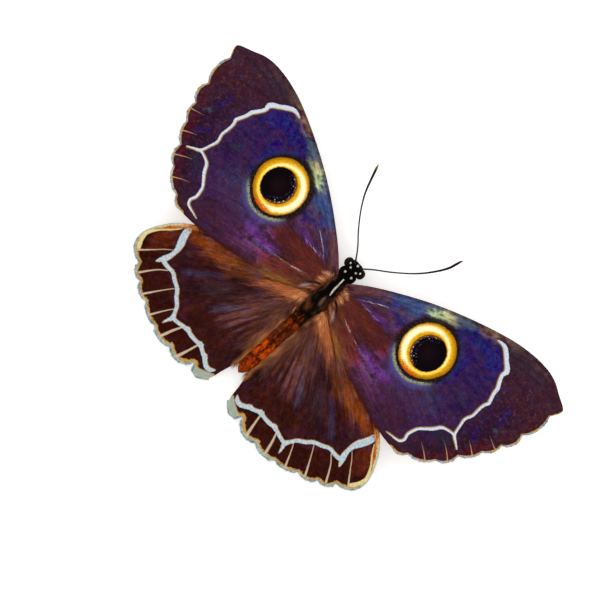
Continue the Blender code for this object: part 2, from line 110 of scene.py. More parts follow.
FORE_VEINS = [
    [(2, 4.9), (9.2, 10.9), (20.2, 17.9), (31.2, 23.4), (42.2, 27.6), (49.2, 29.3), (54.4, 29.7)],
    [(2, 4.2), (12, 10.9), (22, 16.7), (32, 22.2), (37.5, 25.6)],
    [(2, 3.6), (12, 9.4), (22, 14.8), (28, 17.8)],
    [(23, 15.3), (34, 21.6), (44, 26.9)],
    [(28, 17.8), (38, 22.9), (48, 27.6), (51, 28.9)],
    [(40, 23.4), (50, 26.9), (59.5, 28.6)],
    [(44, 23.4), (55, 25.9), (64.8, 25.6)],
    [(28, 17.8), (36, 20.9), (44, 23.4), (54, 21.6), (64.4, 17.2)],
    [(29.8, 16.2), (46, 17.2), (56, 14.6), (63.2, 11.1)],
    [(30.8, 12.6), (46, 11.9), (55, 8.9), (61, 5.3)],
    [(29, 8.2), (44, 6.9), (52, 3.9), (58, 0.2)],
    [(24.5, 4.4), (40, 2.3), (48, -1.2), (54.6, -5.5)],
    [(16.5, 2), (33, -1.8), (42, -5.3), (50.5, -10.3)],
    [(2, 2.2), (9, 2), (16.5, 2), (24.5, 4.4), (29, 8.2)],
    [(28, 17.8), (29.8, 16.2), (30.8, 12.6), (29, 8.2)],
    [(2, 0.6), (9, -2.6), (18, -6.6), (31, -10.9), (44.6, -14.2)],
]
HIND_VEINS = [
    [(2, -3.2), (14, -5.4), (26, -10.4), (36, -16.4), (41.4, -20.9), (44.3, -26.2)],
    [(2, -4), (10, -6.9), (17, -11)],
    [(10, -6.9), (21, -11.6), (30, -16.9), (36.8, -23.5), (42.8, -30.4)],
    [(17, -11), (26, -19), (34.2, -28.5), (38.1, -34)],
    [(19, -13.8), (24.5, -22.4), (28.5, -30.6), (33.1, -37.2)],
    [(18.6, -17.4), (22, -26), (24.7, -34.2), (27.7, -39.8)],
    [(15.5, -17), (18, -27), (19.5, -36.5), (21, -41.6)],
    [(11, -13), (12.4, -25), (13.2, -36.5), (14, -41.8)],
    [(2, -5), (7, -8.4), (11, -13), (15.5, -17), (18.6, -17.4)],
    [(17, -11), (19, -13.8), (18.6, -17.4)],
    [(2.4, -6.4), (6, -15), (8, -27), (8.2, -36), (7.3, -41)],
    [(2.8, -9), (4.4, -17), (5, -27), (4.8, -36), (4.9, -40)],
]
VEIN_RISE, VEIN_HALF_WIDTH, VEIN_TAPER, WING_REACH = 0.30, 0.60, 0.50, 71.0
ROOT_ACROSS, WING_RISE, TIP_CAMBER = 3.0, 0.080, 0.00035
DROOP_AHEAD, WING_DROOP = 8.0, 0.0014
GUTTER_ACROSS, GUTTER_WIDTH, GUTTER_DEPTH = 1.9, 1.9, 1.9
GUTTER_START, GUTTER_FULL = -7.0, -13.0
PLEAT = 0.12                   # how far the membrane sinks between two veins
WING_ROWS, WING_COLUMNS = 165, 150

# --- markings: a line is a list of (across, ahead, width) ---
FORE_LINE = [
    [
        (40.2, 25.6, 0.22), (41.6, 25.9, 0.67), (43, 25.8, 1.01), (44.7, 24.7, 1.13), (46.3, 23.4, 1.03),
        (47.7, 22.4, 1.26), (48.4, 21.3, 1.22), (48.1, 20.3, 0.85), (49, 18.4, 0.89), (50, 16.8, 0.94),
        (50.3, 15.2, 0.75), (51.2, 13, 0.8), (51.4, 12.2, 0.7), (50.9, 11, 0.61), (50.85, 9.2, 0.56),
        (51, 7, 0.56), (50.4, 5.3, 0.56), (50.3, 4.2, 0.56), (50.8, 2.4, 0.46), (51.3, 0.5, 0.52),
        (51.9, -0.5, 0.66), (53, -1.1, 0.46), (54.9, -2.3, 0.19),
    ],
    [
        (51.7, -0.3, 0.52), (50.4, -0.5, 0.46), (49, -0.9, 0.48), (47.7, -1.6, 0.7), (46.6, -3.4, 0.75),
        (45, -5.2, 0.61), (43.9, -6.4, 0.56), (43.5, -7.5, 0.61), (43.1, -9.4, 0.61), (43.6, -11.2, 0.56),
        (43, -12.4, 0.52), (41.6, -12.9, 0.36), (39.9, -13.2, 0.21), (38.6, -13.5, 0.03),
    ],
]
HIND_LINE = [
    [
        (37.7, -16.7, 1.3), (37.8, -17.6, 1.7), (37.6, -18.6, 1.85), (37.1, -19.9, 1.9),
        (36.45, -21.3, 1.95), (36, -22.6, 1.45), (35.85, -24.1, 1.1), (36.1, -26, 1.4), (36.55, -27.2, 1.5),
        (37.1, -28.4, 0.9), (37.6, -29.4, 0.15),
    ],
    [
        (36.9, -27.2, 1.1), (35.6, -27.95, 1.1), (33.8, -28.1, 1), (32.2, -28, 0.95), (30.1, -29.2, 0.95),
        (28, -30.2, 1), (26.6, -31.8, 1), (24.7, -33.3, 0.95), (23.8, -34.9, 0.9), (23.1, -36.3, 1.15),
        (23.5, -37.6, 0.75), (24, -39.3, 0.15),
    ],
    [
        (23.1, -36.4, 1.05), (21.5, -36.3, 0.9), (19.6, -35.85, 0.95), (18.5, -35.65, 1.05),
        (17.8, -35.45, 1.5), (17.1, -35.65, 1.05), (15.8, -35.9, 1), (13.4, -35.85, 1), (12.5, -35.6, 1.6),
        (11.7, -36.05, 1), (10.2, -36.75, 1.05), (9.3, -36.95, 1.5), (8.6, -37.55, 1.15),
        (7.4, -38.35, 1.2), (6.1, -38.55, 1.2), (5.2, -38, 0.9), (4.6, -37.4, 0.4),
    ],
]
HIND_TICKS = [                 # pale vein ends between the band and the fringe
    [(36, -23.3, 0.1), (38.4, -25.6, 0.18), (40.5, -28.1, 0.26), (43.2, -31.2, 0.5)],
    [(33.4, -28.6, 0.22), (35.7, -30.9, 0.3), (38.4, -35, 0.56)],
    [(28.6, -30.6, 0.16), (30.7, -33.8, 0.28), (33.4, -38.2, 0.6)],
    [(24.3, -34, 0.16), (26, -36.9, 0.28), (28.1, -41, 0.6)],
    [(19.2, -35.8, 0.36), (20.4, -38.6, 0.6), (21.6, -42.4, 0.8)],
    [(12.75, -35.6, 0.46), (13.4, -38.6, 0.54), (14.4, -42.6, 0.9)],
]
HIND_EDGE = [                  # cream line that runs from the band's top into the fringe
    [
        (39.2, -18.1, 0.22), (40.5, -19.9, 0.32), (41.9, -21.5, 0.4), (43.2, -23, 0.52),
        (44.2, -24.6, 0.75), (44.8, -26.2, 0.9), (44.65, -27.7, 0.95), (44.1, -29.2, 1.1),
        (43.2, -30.6, 1.1),
    ],
]
PALE_LOBE = [(3.9, -38.9, 0.9), (4.9, -39.9, 1.9), (6.6, -41, 2.2), (8.4, -41.2, 1.5)]
FORE_TICKS = [
    [(57.8, 6.8, -0.1), (59.8, 6, 0.06), (61.7, 5.3, 0.24)],
    [(55, 1.8, -0.08), (57, 0.8, 0.12), (59.2, -0.6, 0.32)],
    [(51.2, -3.5, -0.06), (53.6, -4.9, 0.14), (55.9, -6.6, 0.28)],
    [(46.8, -8.1, -0.08), (49, -9.2, 0.1), (51.8, -11, 0.3)],
]
BASE_STREAKS = [               # bright hair-like streaks near the roots of the forewing
    [(6.8, 4.9, 0.06), (8.4, 5.8, 0.34), (10.2, 7.1, 0.4), (12.6, 8.6, 0.22), (14.2, 9.6, 0.05)],
    [(7.4, 4.7, 0.06), (9.6, 4.8, 0.3), (11.4, 4.95, 0.44), (13, 4.9, 0.28), (15.6, 5, 0.06)],
    [(6.6, -0.3, 0.06), (8.6, -1.4, 0.38), (10.4, -2.2, 0.4), (13.4, -3.1, 0.32), (17.5, -4.1, 0.08)],
]
PUPIL = (30.4, 9.2, 4.85, 5.3) # across, ahead, and its half sizes both ways
RING = (30.0, 9.35, 7.60, 8.10)
UNDER_PUPIL = (25.0, -19.5, 4.3, 4.9)
UNDER_RING = (25.2, -19.5, 6.6, 7.3)
UNDER_FORE_PUPIL = (52.5, 22.5, 1.1, 1.2)
UNDER_FORE_RING = (52.5, 22.5, 1.9, 2.1)
FRINGE = 0.85                  # length of the fringe's scales

# --- body stations: (ahead, height of its middle, half width, half height) ---
BODY = [
    (11.5, 7.25, 0.62, 0.4), (11.42, 7.28, 1.22, 0.82), (11.12, 7.32, 1.72, 1.22), (10.6, 7.35, 2.06, 1.52),
    (9.95, 7.35, 2.16, 1.67), (9.35, 7.35, 2.18, 1.67), (8.8, 7.35, 2.16, 1.58), (8.4, 7.36, 2.22, 1.58),
    (7.9, 7.4, 2.42, 1.7), (7.2, 7.45, 2.5, 1.9), (6.45, 7.5, 2.42, 2.06), (5.75, 7.5, 2.32, 2.28),
    (4.8, 7.5, 2.36, 2.58), (3.1, 7.5, 2.52, 3.05), (1, 7.45, 2.68, 3.28), (-1.5, 7.4, 2.74, 3.28),
    (-4, 7.3, 2.66, 3.04), (-6.2, 7.15, 2.42, 2.6), (-7.7, 7.02, 2.04, 2.16), (-9, 6.93, 2.02, 2.1),
    (-11, 6.82, 2.1, 2.14), (-16, 6.5, 2, 2.05), (-24, 6.05, 1.92, 1.92), (-29, 5.76, 1.84, 1.68),
    (-30.9, 5.64, 1.5, 1.34), (-32, 5.58, 1, 0.88), (-32.5, 5.55, 0.42, 0.36),
]
ABDOMEN_START, ABDOMEN_END, SEGMENTS = -7.6, -32.7, 8
EYE_MIDDLE = (2.32, 9.76, 7.20)
EYE_HALF = (1.24, 1.46, 1.46)
SPOT_SHIFT = 0.14              # the dots sit a little to the right
HEAD_DOTS = [(0, 10.85, 0.31), (1.94, 9.94, 0.24), (1.07, 9.12, 0.28), (1.22, 7.3, 0.32)]
BACK_STRIPE = [(0.3, 5.5, 0.3), (0.46, 3.4, 0.34), (0.64, 1.6, 0.44), (1, 0, 0.14)]

# --- limbs: (across, ahead, height, radius) ---
ANTENNA = {
    "left": [
        (0.95, 10.5, 8.6, 0.36), (1.7, 11.7, 8.95, 0.24), (3.95, 14.35, 9.4, 0.21), (7.15, 17.4, 10, 0.21),
        (10.75, 21.5, 10.6, 0.22), (13.3, 25.25, 11.1, 0.27), (14.95, 28.8, 11.5, 0.34),
        (16, 31.3, 11.75, 0.38), (16.5, 32.5, 11.9, 0.31), (16.8, 33.1, 12, 0.1),
    ],
    "right": [
        (0.95, 10.5, 8.6, 0.36), (1.75, 11.35, 8.95, 0.24), (3.9, 13.45, 9.4, 0.21), (7.3, 16.3, 10, 0.21),
        (10.85, 19.7, 10.6, 0.22), (13.4, 22.7, 11, 0.26), (15.5, 25.9, 11.35, 0.31),
        (16.9, 28.7, 11.65, 0.36), (17.5, 31.1, 11.85, 0.38), (17.75, 32.2, 11.95, 0.29),
        (18.03, 32.75, 12, 0.1),
    ],
}
PALP = [
    (0.62, 10.1, 5.3, 0.3), (0.64, 10.8, 5, 0.38), (0.62, 11.06, 5.8, 0.34), (0.58, 11.12, 6.5, 0.24),
    (0.56, 11.14, 6.9, 0.08),
]
LEGS = {
    "foreleg": [
        (1.1, 4.4, 4.6, 0.38), (1.45, 6, 3.95, 0.4), (1.62, 7.85, 4.1, 0.3), (1.55, 8.2, 3.6, 0.26),
        (1.45, 7, 3.05, 0.28), (1.35, 5.65, 2.8, 0.18),
    ],
    "midleg": [
        (1.2, 1.6, 4.5, 0.6), (1.95, 2.05, 3.95, 0.46), (2.6, 2.45, 4.15, 0.42), (4.2, 3.45, 5.05, 0.48),
        (5.7, 4.4, 5.9, 0.38), (6.25, 4.78, 5.8, 0.32), (6.7, 5.15, 5.2, 0.3), (7.8, 6.05, 3.1, 0.29),
        (8.95, 6.95, 0.95, 0.25), (9.35, 7.25, 0.42, 0.24), (10.3, 7.9, 0.24, 0.24),
        (11.6, 8.8, 0.23, 0.23), (12.1, 9.14, 0.21, 0.16),
    ],
    "hindleg": [
        (1.2, -3.6, 4.4, 0.6), (1.9, -4.2, 3.85, 0.46), (2.4, -4.9, 4.05, 0.42), (3.7, -6.75, 4.85, 0.48),
        (5.05, -8.65, 5.45, 0.38), (5.55, -9.35, 5.3, 0.32), (5.95, -10, 4.7, 0.3),
        (6.95, -11.7, 2.75, 0.29), (7.95, -13.35, 0.9, 0.25), (8.3, -14, 0.42, 0.24),
        (9, -15.2, 0.24, 0.24), (9.9, -16.8, 0.23, 0.23), (10.19, -17.33, 0.21, 0.16),
    ],
}
SOLE_HEIGHT = 0.00026          # no hair grows on a leg below this height
TONGUE_ROOT, TONGUE_MIDDLE = (10.70, 5.60), (9.55, 3.70)
TONGUE_TURNS, TONGUE_OUTER, TONGUE_INNER, TONGUE_RADIUS = 1.6, 1.30, 0.45, 0.23
TONGUE_START = math.radians(20)

# --- view ---
VIEW_MIDDLE = (-1.17, -7.0)    # plan point, to the animal's right, at the middle of the view
VIEW_WIDTH = 165.24
VIEW_ROLL = math.radians(48.3)  # how far the head is turned from the top of the view
VIEW_LEVEL = 12.5               # height at which the view is that wide
LENS, SENSOR = 100.0, 36.0

CLAW = [                       # a hook's (ahead, across, height, radius) from the end of the foot
    (0, 0.02, 0.05, 0.09), (0.22, 0.09, 0.12, 0.07), (0.4, 0.13, 0.02, 0.045), (0.46, 0.14, -0.1, 0.012),
]
FLOOR_SIZE, FLOOR_GAP = 3.0, 0.00002
LAMP_SIZE, LAMP_PLACE = 0.45, (0.30, -0.16, 0.62)


def srgb(red, green, blue):
    """A linear colour from display values of 0 to 255."""
    shares = (c / 255 for c in (red, green, blue))
    return tuple(c / 12.92 if c < 11 / 255 else ((c + 0.055) / 1.055) ** 2.4 for c in shares)


# --- plan geometry ---
def unit(ways):
    """Directions brought to a length of one."""
    return ways / np.linalg.norm(ways, axis=-1, keepdims=True)


def smooth_line(points, step):
    """Points about `step` apart on a Catmull-Rom curve through `points`, of any dimension."""
    keys = [np.array(p, float) for p in points]
    keys = [2 * keys[0] - keys[1], *keys, 2 * keys[-1] - keys[-2]]
    line = []
    for a, b, c, d in zip(keys, keys[1:], keys[2:], keys[3:]):
        count = max(1, round(float(np.linalg.norm((c - b)[:3])) / step))
        for t in np.arange(count) / count:
            bend = (c - a) * t + (2 * a - 5 * b + 4 * c - d) * t**2 + (3 * b - a - 3 * c + d) * t**3
            line.append(b + bend / 2)
    return np.array([*line, keys[-2]])


def lobed_line(notches, lobes, steps=14):
    """A scalloped edge: from each notch to the next it bulges outwards by the lobe's height."""
    line = []
    for a, b, height in zip(np.array(notches), np.array(notches[1:]), lobes):
        along = b - a
        outward = np.array((-along[1], along[0])) / np.linalg.norm(along)
        for t in np.arange(steps) / steps:
            line.append(a + along * t + outward * height * math.sin(math.pi * t) ** 0.75)
    return np.array([*line, notches[-1]])


def way_gone(line):
    """How far along a line each of its points lies."""
    return np.concatenate([[0], np.cumsum(np.linalg.norm(np.diff(line, axis=0), axis=1))])


def resample(line, count):
    """`count` + 1 points evenly spaced along a line."""
    run = way_gone(line)
    at = np.linspace(0, run[-1], count + 1)
    return np.column_stack([np.interp(at, run, column) for column in line.T])


def smooth_step(value, low, high):
    t = np.clip((value - low) / (high - low), 0, 1)
    return t * t * (3 - 2 * t)


def line_gap(points, line):
    """Distance from plan points to a line, less half the line's width where it states one."""
    best = np.full(len(points), FAR)
    for a, b in zip(line, line[1:]):
        along = b[:2] - a[:2]
        t = np.clip(((points - a[:2]) @ along) / max(float(along @ along), 1e-9), 0, 1)
        gap = np.linalg.norm(points - a[:2] - t[:, None] * along, axis=1)
        if len(a) > 2:
            gap = gap - (a[2] + (b[2] - a[2]) * t) / 2
        best = np.minimum(best, gap)
    return best


def wing_edges(wing):
    """The front, outer and rear edges of a wing."""
    whole = np.concatenate([
        smooth_line(wing["front"], 0.8)[:-1], lobed_line(wing["notches"], wing["lobes"]),
    ])
    if wing["lobe"]:
        whole = np.concatenate([whole[:-1], smooth_line(wing["lobe"], 0.4)])
    tip = int(np.argmin(np.linalg.norm(whole - wing["corner"], axis=1)))
    return whole[: tip + 1], whole[tip:], smooth_line(wing["back"], 0.8)[::-1]


def inset(line, depth):
    """A line moved to its left-hand side, less towards its ends."""
    along = unit(np.gradient(line, axis=0))
    ends = np.minimum(np.linspace(0, 8, len(line)), np.linspace(8, 0, len(line))).clip(0, 1)
    return line - np.column_stack((along[:, 1], -along[:, 0])) * (depth * ends)[:, None]


def patch_grid(front, outer, rear):
    """A Coons patch between the edges: rows run from the root to the outer edge."""
    front, rear = resample(front, WING_ROWS), resample(rear, WING_ROWS)
    outer = resample(outer, WING_COLUMNS)
    u = np.linspace(0, 1, WING_ROWS + 1)[:, None, None]
    v = np.linspace(0, 1, WING_COLUMNS + 1)[None, :, None]
    root = front[0] + (rear[0] - front[0]) * v[0]
    ruled = (1 - v) * front[:, None] + v * rear[:, None] + (1 - u) * root[None] + u * outer[None]
    corners = (1 - u) * ((1 - v) * front[0] + v * rear[0]) + u * ((1 - v) * outer[0] + v * outer[-1])
    return ruled - corners


def wing_height(kind, plan):
    """Height of the upper face of the membrane over plan points."""
    across, ahead = plan[:, 0], plan[:, 1]
    out = np.maximum(across - ROOT_ACROSS, 0)
    behind = np.maximum(DROOP_AHEAD - ahead, 0)
    height = WINGS[kind]["root"] + WING_RISE * out - TIP_CAMBER * out**2 - WING_DROOP * behind**2
    if kind == "fore":
        return height
    inner_edge = np.exp(-(((across - GUTTER_ACROSS) / GUTTER_WIDTH) ** 2))
    return height - GUTTER_DEPTH * inner_edge * smooth_step(-ahead, -GUTTER_START, -GUTTER_FULL)


def place(points, side=1):
    """Points of the animal (across, ahead, height) in metres, in the frame of the solids."""
    points = np.asarray(points, float)
    return np.stack([side * points[..., 0], MIDDLE_AHEAD - points[..., 1], points[..., 2]], -1) * MM


# --- meshes ---
def set_values(obj, **values):
    """Stores a number, a vector or (as ground and under) a colour for each point of a mesh."""
    for name, value in values.items():
        kind, key = ("FLOAT", "value") if np.ndim(value) == 1 else ("FLOAT_VECTOR", "vector")
        if name in ("ground", "under"):
            kind, key = "FLOAT_COLOR", "color"
            value = np.column_stack((value, np.ones(len(value))))
        layer = obj.data.attributes.new(name, kind, "POINT")
        layer.data.foreach_set(key, np.ascontiguousarray(value, np.float32).ravel())


def add_object(name, mesh):
    obj = bpy.data.objects.new(name, mesh)
    bpy.context.scene.collection.objects.link(obj)
    return obj


def mesh_from(name, points, faces, uv=None, uv_name="SkinUV"):
    """A smooth-shaded mesh object; `uv` gives a pair for each corner of each face."""
    mesh = bpy.data.meshes.new(name)
    mesh.from_pydata(np.asarray(points).tolist(), [], faces)
    if uv is not None:
        layer = mesh.uv_layers.new(name=uv_name)
        layer.data.foreach_set("uv", np.ascontiguousarray(uv, np.float32).ravel())
    mesh.shade_smooth()
    return add_object(name, mesh)


def grid_faces(rows, columns):
    """The numbers of a grid's points, and the quads between them."""
    number = np.arange(rows * columns).reshape(rows, columns)
    corners = number[:-1, :-1], number[1:, :-1], number[1:, 1:], number[:-1, 1:]
    return number, np.stack(corners, -1).reshape(-1, 4)


def face_outwards(obj):
    """Turns a closed mesh's faces so that they all point outwards."""
    mesh = obj.data
    mesh.calc_loop_triangles()
    points = np.array([v.co for v in mesh.vertices])
    corners = points[np.array([t.vertices for t in mesh.loop_triangles])]
    if np.linalg.det(corners - corners.mean((0, 1))).sum() < 0:
        mesh.flip_normals()


def ring_points(rings):
    """The points of a loft: its rings, and the middles of the two ends."""
    return np.concatenate([rings.reshape(-1, 3), [rings[0].mean(0), rings[-1].mean(0)]])


def loft(name, rings, material):
    """A closed skin through rings of points, unwrapped round it and along it."""
    count, sides = rings.shape[:2]
    last = (count - 1) * sides
    faces, uv = [], []
    for i in range(count - 1):
        for j in range(sides):
            corners = ((j, i), (j + 1, i), (j + 1, i + 1), (j, i + 1))
            faces.append([b * sides + a % sides for a, b in corners])
            uv += [(a / sides, b / (count - 1)) for a, b in corners]
    for j in range(sides):
        k = (j + 1) % sides
        faces += [(last + sides, k, j), (last + sides + 1, last + j, last + k)]
        for end, shifts in enumerate(((0.5, 1, 0), (0.5, 0, 1))):
            uv += [((j + shift) / sides, end) for shift in shifts]
    obj = mesh_from(name, ring_points(rings), faces, uv)
    face_outwards(obj)
    obj.data.materials.append(material)
    return obj


def round_turn(sides):
    return np.linspace(0, 2 * math.pi, sides, endpoint=False)


def tube_rings(path, sides):
    """Rings round a path of (point, radius), turned as little as possible from one to the next."""
    centre, radius = path[:, :3], path[:, 3]
    along = unit(np.gradient(centre, axis=0))
    across = np.cross(along[0], (0, 0, 1) if abs(along[0][2]) < 0.9 else (1, 0, 0))
    turn = round_turn(sides)[:, None]
    rings = []
    for middle, size, ahead in zip(centre, radius, along):
        across = unit(across - ahead * (across @ ahead))
        rings.append(middle + size * (np.cos(turn) * across + np.sin(turn) * np.cross(ahead, across)))
    return np.array(rings)


# --- node trees ---
class Value:
    """An output of a node; reckoning with it adds Math nodes to its tree."""

    def __init__(self, tree, socket):
        self.tree, self.socket = tree, socket

    def __add__(self, other):
        return self.tree.math("ADD", self, other)

    def __mul__(self, other):
        return self.tree.math("MULTIPLY", self, other)

    def __sub__(self, other):
        return self.tree.math("SUBTRACT", self, other)

    def __rsub__(self, other):
        return self.tree.math("SUBTRACT", other, self)

    __radd__, __rmul__ = __add__, __mul__


class Node:
    """A node whose outputs are asked for by number or by name."""

    def __init__(self, tree, made):
        self.tree, self.made = tree, made

    def __getitem__(self, key):
        return Value(self.tree, pick_socket(self.made.outputs, key))


def pick_socket(sockets, key):
    """The socket of that number, or the one in use of that name."""
    if isinstance(key, int):
        return sockets[key]
    return next(socket for socket in sockets if socket.enabled and socket.name == key)


class Tree:
    """Short calls that add nodes to a tree and give back their outputs."""

    def __init__(self, tree):
        self.tree = tree

    def node(self, kind, inputs=(), **settings):
        made = self.tree.nodes.new(kind)
        for key, value in settings.items():
            setattr(made, key, value)
        self.feed(made, inputs)
        return Node(self, made)

    def feed(self, made, inputs):
        """Links or sets a node's inputs, which are asked for by number or by name."""
        for key, value in dict(inputs).items():
            socket = pick_socket(made.inputs, key)
            if isinstance(value, Value):
                self.tree.links.new(value.socket, socket)
                continue
            if socket.type == "RGBA" and len(value) == 3:
                value = (*value, 1)
            socket.default_value = value

    def math(self, operation, *values, clamp=False):
        return self.node("ShaderNodeMath", enumerate(values), operation=operation, use_clamp=clamp)[0]

    def vector(self, operation, *values):
        """Vector maths; a single number as the second value scales the first."""
        inputs = zip((0, "Scale" if operation == "SCALE" else 1), values)
        made = self.node("ShaderNodeVectorMath", inputs, operation=operation)
        return made["Value" if operation == "LENGTH" else "Vector"]

    def mix(self, share, a, b, blend="MIX"):
        return self.node("ShaderNodeMix", {0: share, 6: a, 7: b}, data_type="RGBA", blend_type=blend)[2]

    def span(self, value, low, high):
        """Where the value lies between low and high, smoothly."""
        inputs = {"Value": value, "From Min": low, "From Max": high}
        return self.node("ShaderNodeMapRange", inputs, interpolation_type="SMOOTHSTEP")["Result"]

    def noise(self, vector, scale, detail=3.0, roughness=0.6, output="Fac"):
        inputs = {"Vector": vector, "Scale": scale, "Detail": detail, "Roughness": roughness}
        return self.node("ShaderNodeTexNoise", inputs)[output]

    def clouds(self, vector, scale, detail, roughness, low, high):
        """A mask of clouds: noise that is spread from none at low to full at high."""
        return self.span(self.noise(vector, scale, detail, roughness), low, high)

    def value(self, name, output="Fac"):
        return self.node("ShaderNodeAttribute", attribute_name=name)[output]

    def at(self):
        return self.node("ShaderNodeTexCoord")["Object"]

    def channels(self, colour):
        return self.node("ShaderNodeSeparateColor", {0: colour})

    def parts(self, vector):
        return self.node("ShaderNodeSeparateXYZ", {0: vector})

    def combined(self, x, y, z):
        return self.node("ShaderNodeCombineXYZ", {0: x, 1: y, 2: z})[0]

    def toned(self, colour, tone):
        """A colour times a tone."""
        grey = self.node("ShaderNodeCombineColor", {0: tone, 1: tone, 2: tone})[0]
        return self.mix(1.0, colour, grey, "MULTIPLY")

    def varied(self, hue, richness, tone, colour):
        inputs = {"Hue": hue, "Saturation": richness, "Value": tone, "Color": colour}
        return self.node("ShaderNodeHueSaturation", inputs)[0]

    def bump(self, strength, distance, height):
        inputs = {"Strength": strength, "Distance": distance, "Height": height}
        return self.node("ShaderNodeBump", inputs)[0]

    def use(self, maker, **inputs):
        """A shader group, made by the function of its name when it is first asked for."""
        tree = bpy.data.node_groups.get(maker.__name__) or maker()
        inputs = {key.replace("_", " "): value for key, value in inputs.items()}
        return self.node("ShaderNodeGroup", inputs, node_tree=tree)

    def streaks(self, count, length):
        uv = self.node("ShaderNodeUVMap", uv_map="SkinUV")[0]
        return self.use(streaks, UV=uv, Count=count, Length=length)[0]

    def give(self, **outputs):
        """Feeds a group's outputs and gives the finished tree."""
        self.node("NodeGroupOutput", outputs)
        return self.tree

    def shade(self, made, **inputs):
        """Feeds the shader of a material and gives the material."""
        shader = self.tree.nodes["Principled BSDF"]
        self.feed(shader, {key.replace("_", " "): value for key, value in inputs.items()})
        return made


def new_material(name, roughness, specular):
    """A material with its plain values set, and its tree."""
    made = bpy.data.materials.new(name)
    made.use_nodes = True
    b = Tree(made.node_tree)
    return b.shade(made, Roughness=roughness, Specular_IOR_Level=specular), b


def new_group(name, inputs, outputs, kind="ShaderNodeTree"):
    """A node group and its inputs; a default or a kind tells what each socket is."""
    tree = bpy.data.node_groups.new(name, kind)
    for way, sockets in (("INPUT", inputs), ("OUTPUT", outputs)):
        for label, value in sockets.items():
            plain = isinstance(value, str)
            socket = "NodeSocket" + (value if plain else type(value).__name__.title())
            made = tree.interface.new_socket(label, in_out=way, socket_type=socket)
            if not plain:
                made.default_value = value
    b = Tree(tree)
    return b, b.node("NodeGroupInput")


# --- the coat: Geometry Nodes that plant tufts on a skin ---
def tuft_mesh(name, flat, bend, rings=3):
    """A three-sided tuft of unit length along Z, which tapers to a point and bends over."""
    points = []
    for t in np.arange(rings) / rings:
        size, lean = (1 - t) ** 0.7, -bend * t * t
        for x, y in ((-0.5, -0.3), (0.5, -0.3), (0.0, 0.7)):
            points.append((x * size, y * flat * size + lean, t))
    points.append((0, -bend, 1))
    tip, last = 3 * rings, 3 * (rings - 1)
    faces = [(2, 1, 0)]
    for i in range(0, last, 3):
        faces += [(i + j, i + k, i + 3 + k, i + 3 + j) for j, k in ((0, 1), (1, 2), (2, 0))]
    faces += [(last + j, last + k, tip) for j, k in ((0, 1), (1, 2), (2, 0))]
    uv = [(0.5 + points[i][0], points[i][2]) for face in faces for i in face]
    obj = mesh_from(name, points, faces, uv, "tuft_uv")
    set_values(obj, along=[point[2] for point in points])
    return obj


def planting_tree(name, scatter):
    """Tufts on a skin: scattered over its faces, or one on each of its points.

    It reads the skin's own values: lie (direction of the hair), coat_density, coat_length and SkinUV.
    """
    b, given = new_group(name, {
        "Geometry": "Geometry", "Tuft": "Object", "Density": 1e7, "Length": 0.001, "Width": 0.0003,
        "Lift": 0.3, "Spread": 0.2, "Patch": 0.003, "Seed": 1, "Material": "Material",
    }, {"Geometry": "Geometry"}, "GeometryNodeTree")

    def named(label, kind="FLOAT_VECTOR"):
        return b.node("GeometryNodeInputNamedAttribute", {"Name": label}, data_type=kind)["Attribute"]

    def stored(geometry, label, value, kind, domain="POINT"):
        inputs = {"Geometry": geometry, "Name": label, "Value": value}
        return b.node("GeometryNodeStoreNamedAttribute", inputs, data_type=kind, domain=domain)[0]

    def chance(low, high, shift):
        inputs = {2: low, 3: high, "Seed": given["Seed"] + shift}
        return b.node("FunctionNodeRandomValue", inputs, data_type="FLOAT")[1]

    if scatter:
        density = named("coat_density", "FLOAT") * given["Density"]
        inputs = {"Mesh": given["Geometry"], "Density": density, "Seed": given["Seed"]}
        roots = b.node("GeometryNodeDistributePointsOnFaces", inputs, distribute_method="RANDOM")
        normal = roots["Normal"]
    else:
        roots = b.node("GeometryNodeMeshToPoints", {"Mesh": given["Geometry"]})
        normal = named("upward")
    kept = stored(roots["Points"], "root_uv", named("SkinUV"), "FLOAT_VECTOR")
    kept = stored(kept, "pick", chance(0.0, 1.0, 11), "FLOAT")
    inputs = {0: (-1.0, -1.0, -1.0), 1: (1.0, 1.0, 1.0), "Seed": given["Seed"] + 5}
    sway = b.node("FunctionNodeRandomValue", inputs, data_type="FLOAT_VECTOR")[0]
    way = b.vector("ADD", named("lie"), b.vector("SCALE", normal, given["Lift"]))
    way = b.vector("NORMALIZE", b.vector("ADD", way, b.vector("SCALE", sway, given["Spread"])))
    turned = b.node("FunctionNodeAlignRotationToVector", {"Vector": way}, axis="Z")[0]
    inputs = {"Rotation": turned, "Vector": normal}
    faced = b.node("FunctionNodeAlignRotationToVector", inputs, axis="Y", pivot_axis="Z")[0]
    length = named("coat_length", "FLOAT") * given["Length"] * chance(0.7, 1.15, 7)
    width = given["Width"] * chance(0.7, 1.25, 3)
    planted = b.node("GeometryNodeInstanceOnPoints", {
        "Points": kept, "Rotation": faced, "Scale": b.combined(width, width, length),
        "Instance": b.node("GeometryNodeObjectInfo", {"Object": given["Tuft"]})["Geometry"],
    })
    real = b.node("GeometryNodeRealizeInstances", {"Geometry": planted["Instances"]})
    corner = b.vector("SUBTRACT", named("tuft_uv"), (0.5, 0.5, 0.0))
    spot = b.vector("ADD", named("root_uv"), b.vector("SCALE", corner, given["Patch"]))
    baked = stored(real[0], "OFBake", spot, "FLOAT2", "CORNER")
    inputs = {"Geometry": baked, "Material": given["Material"]}
    return b.give(Geometry=b.node("GeometryNodeSetMaterial", inputs)[0])


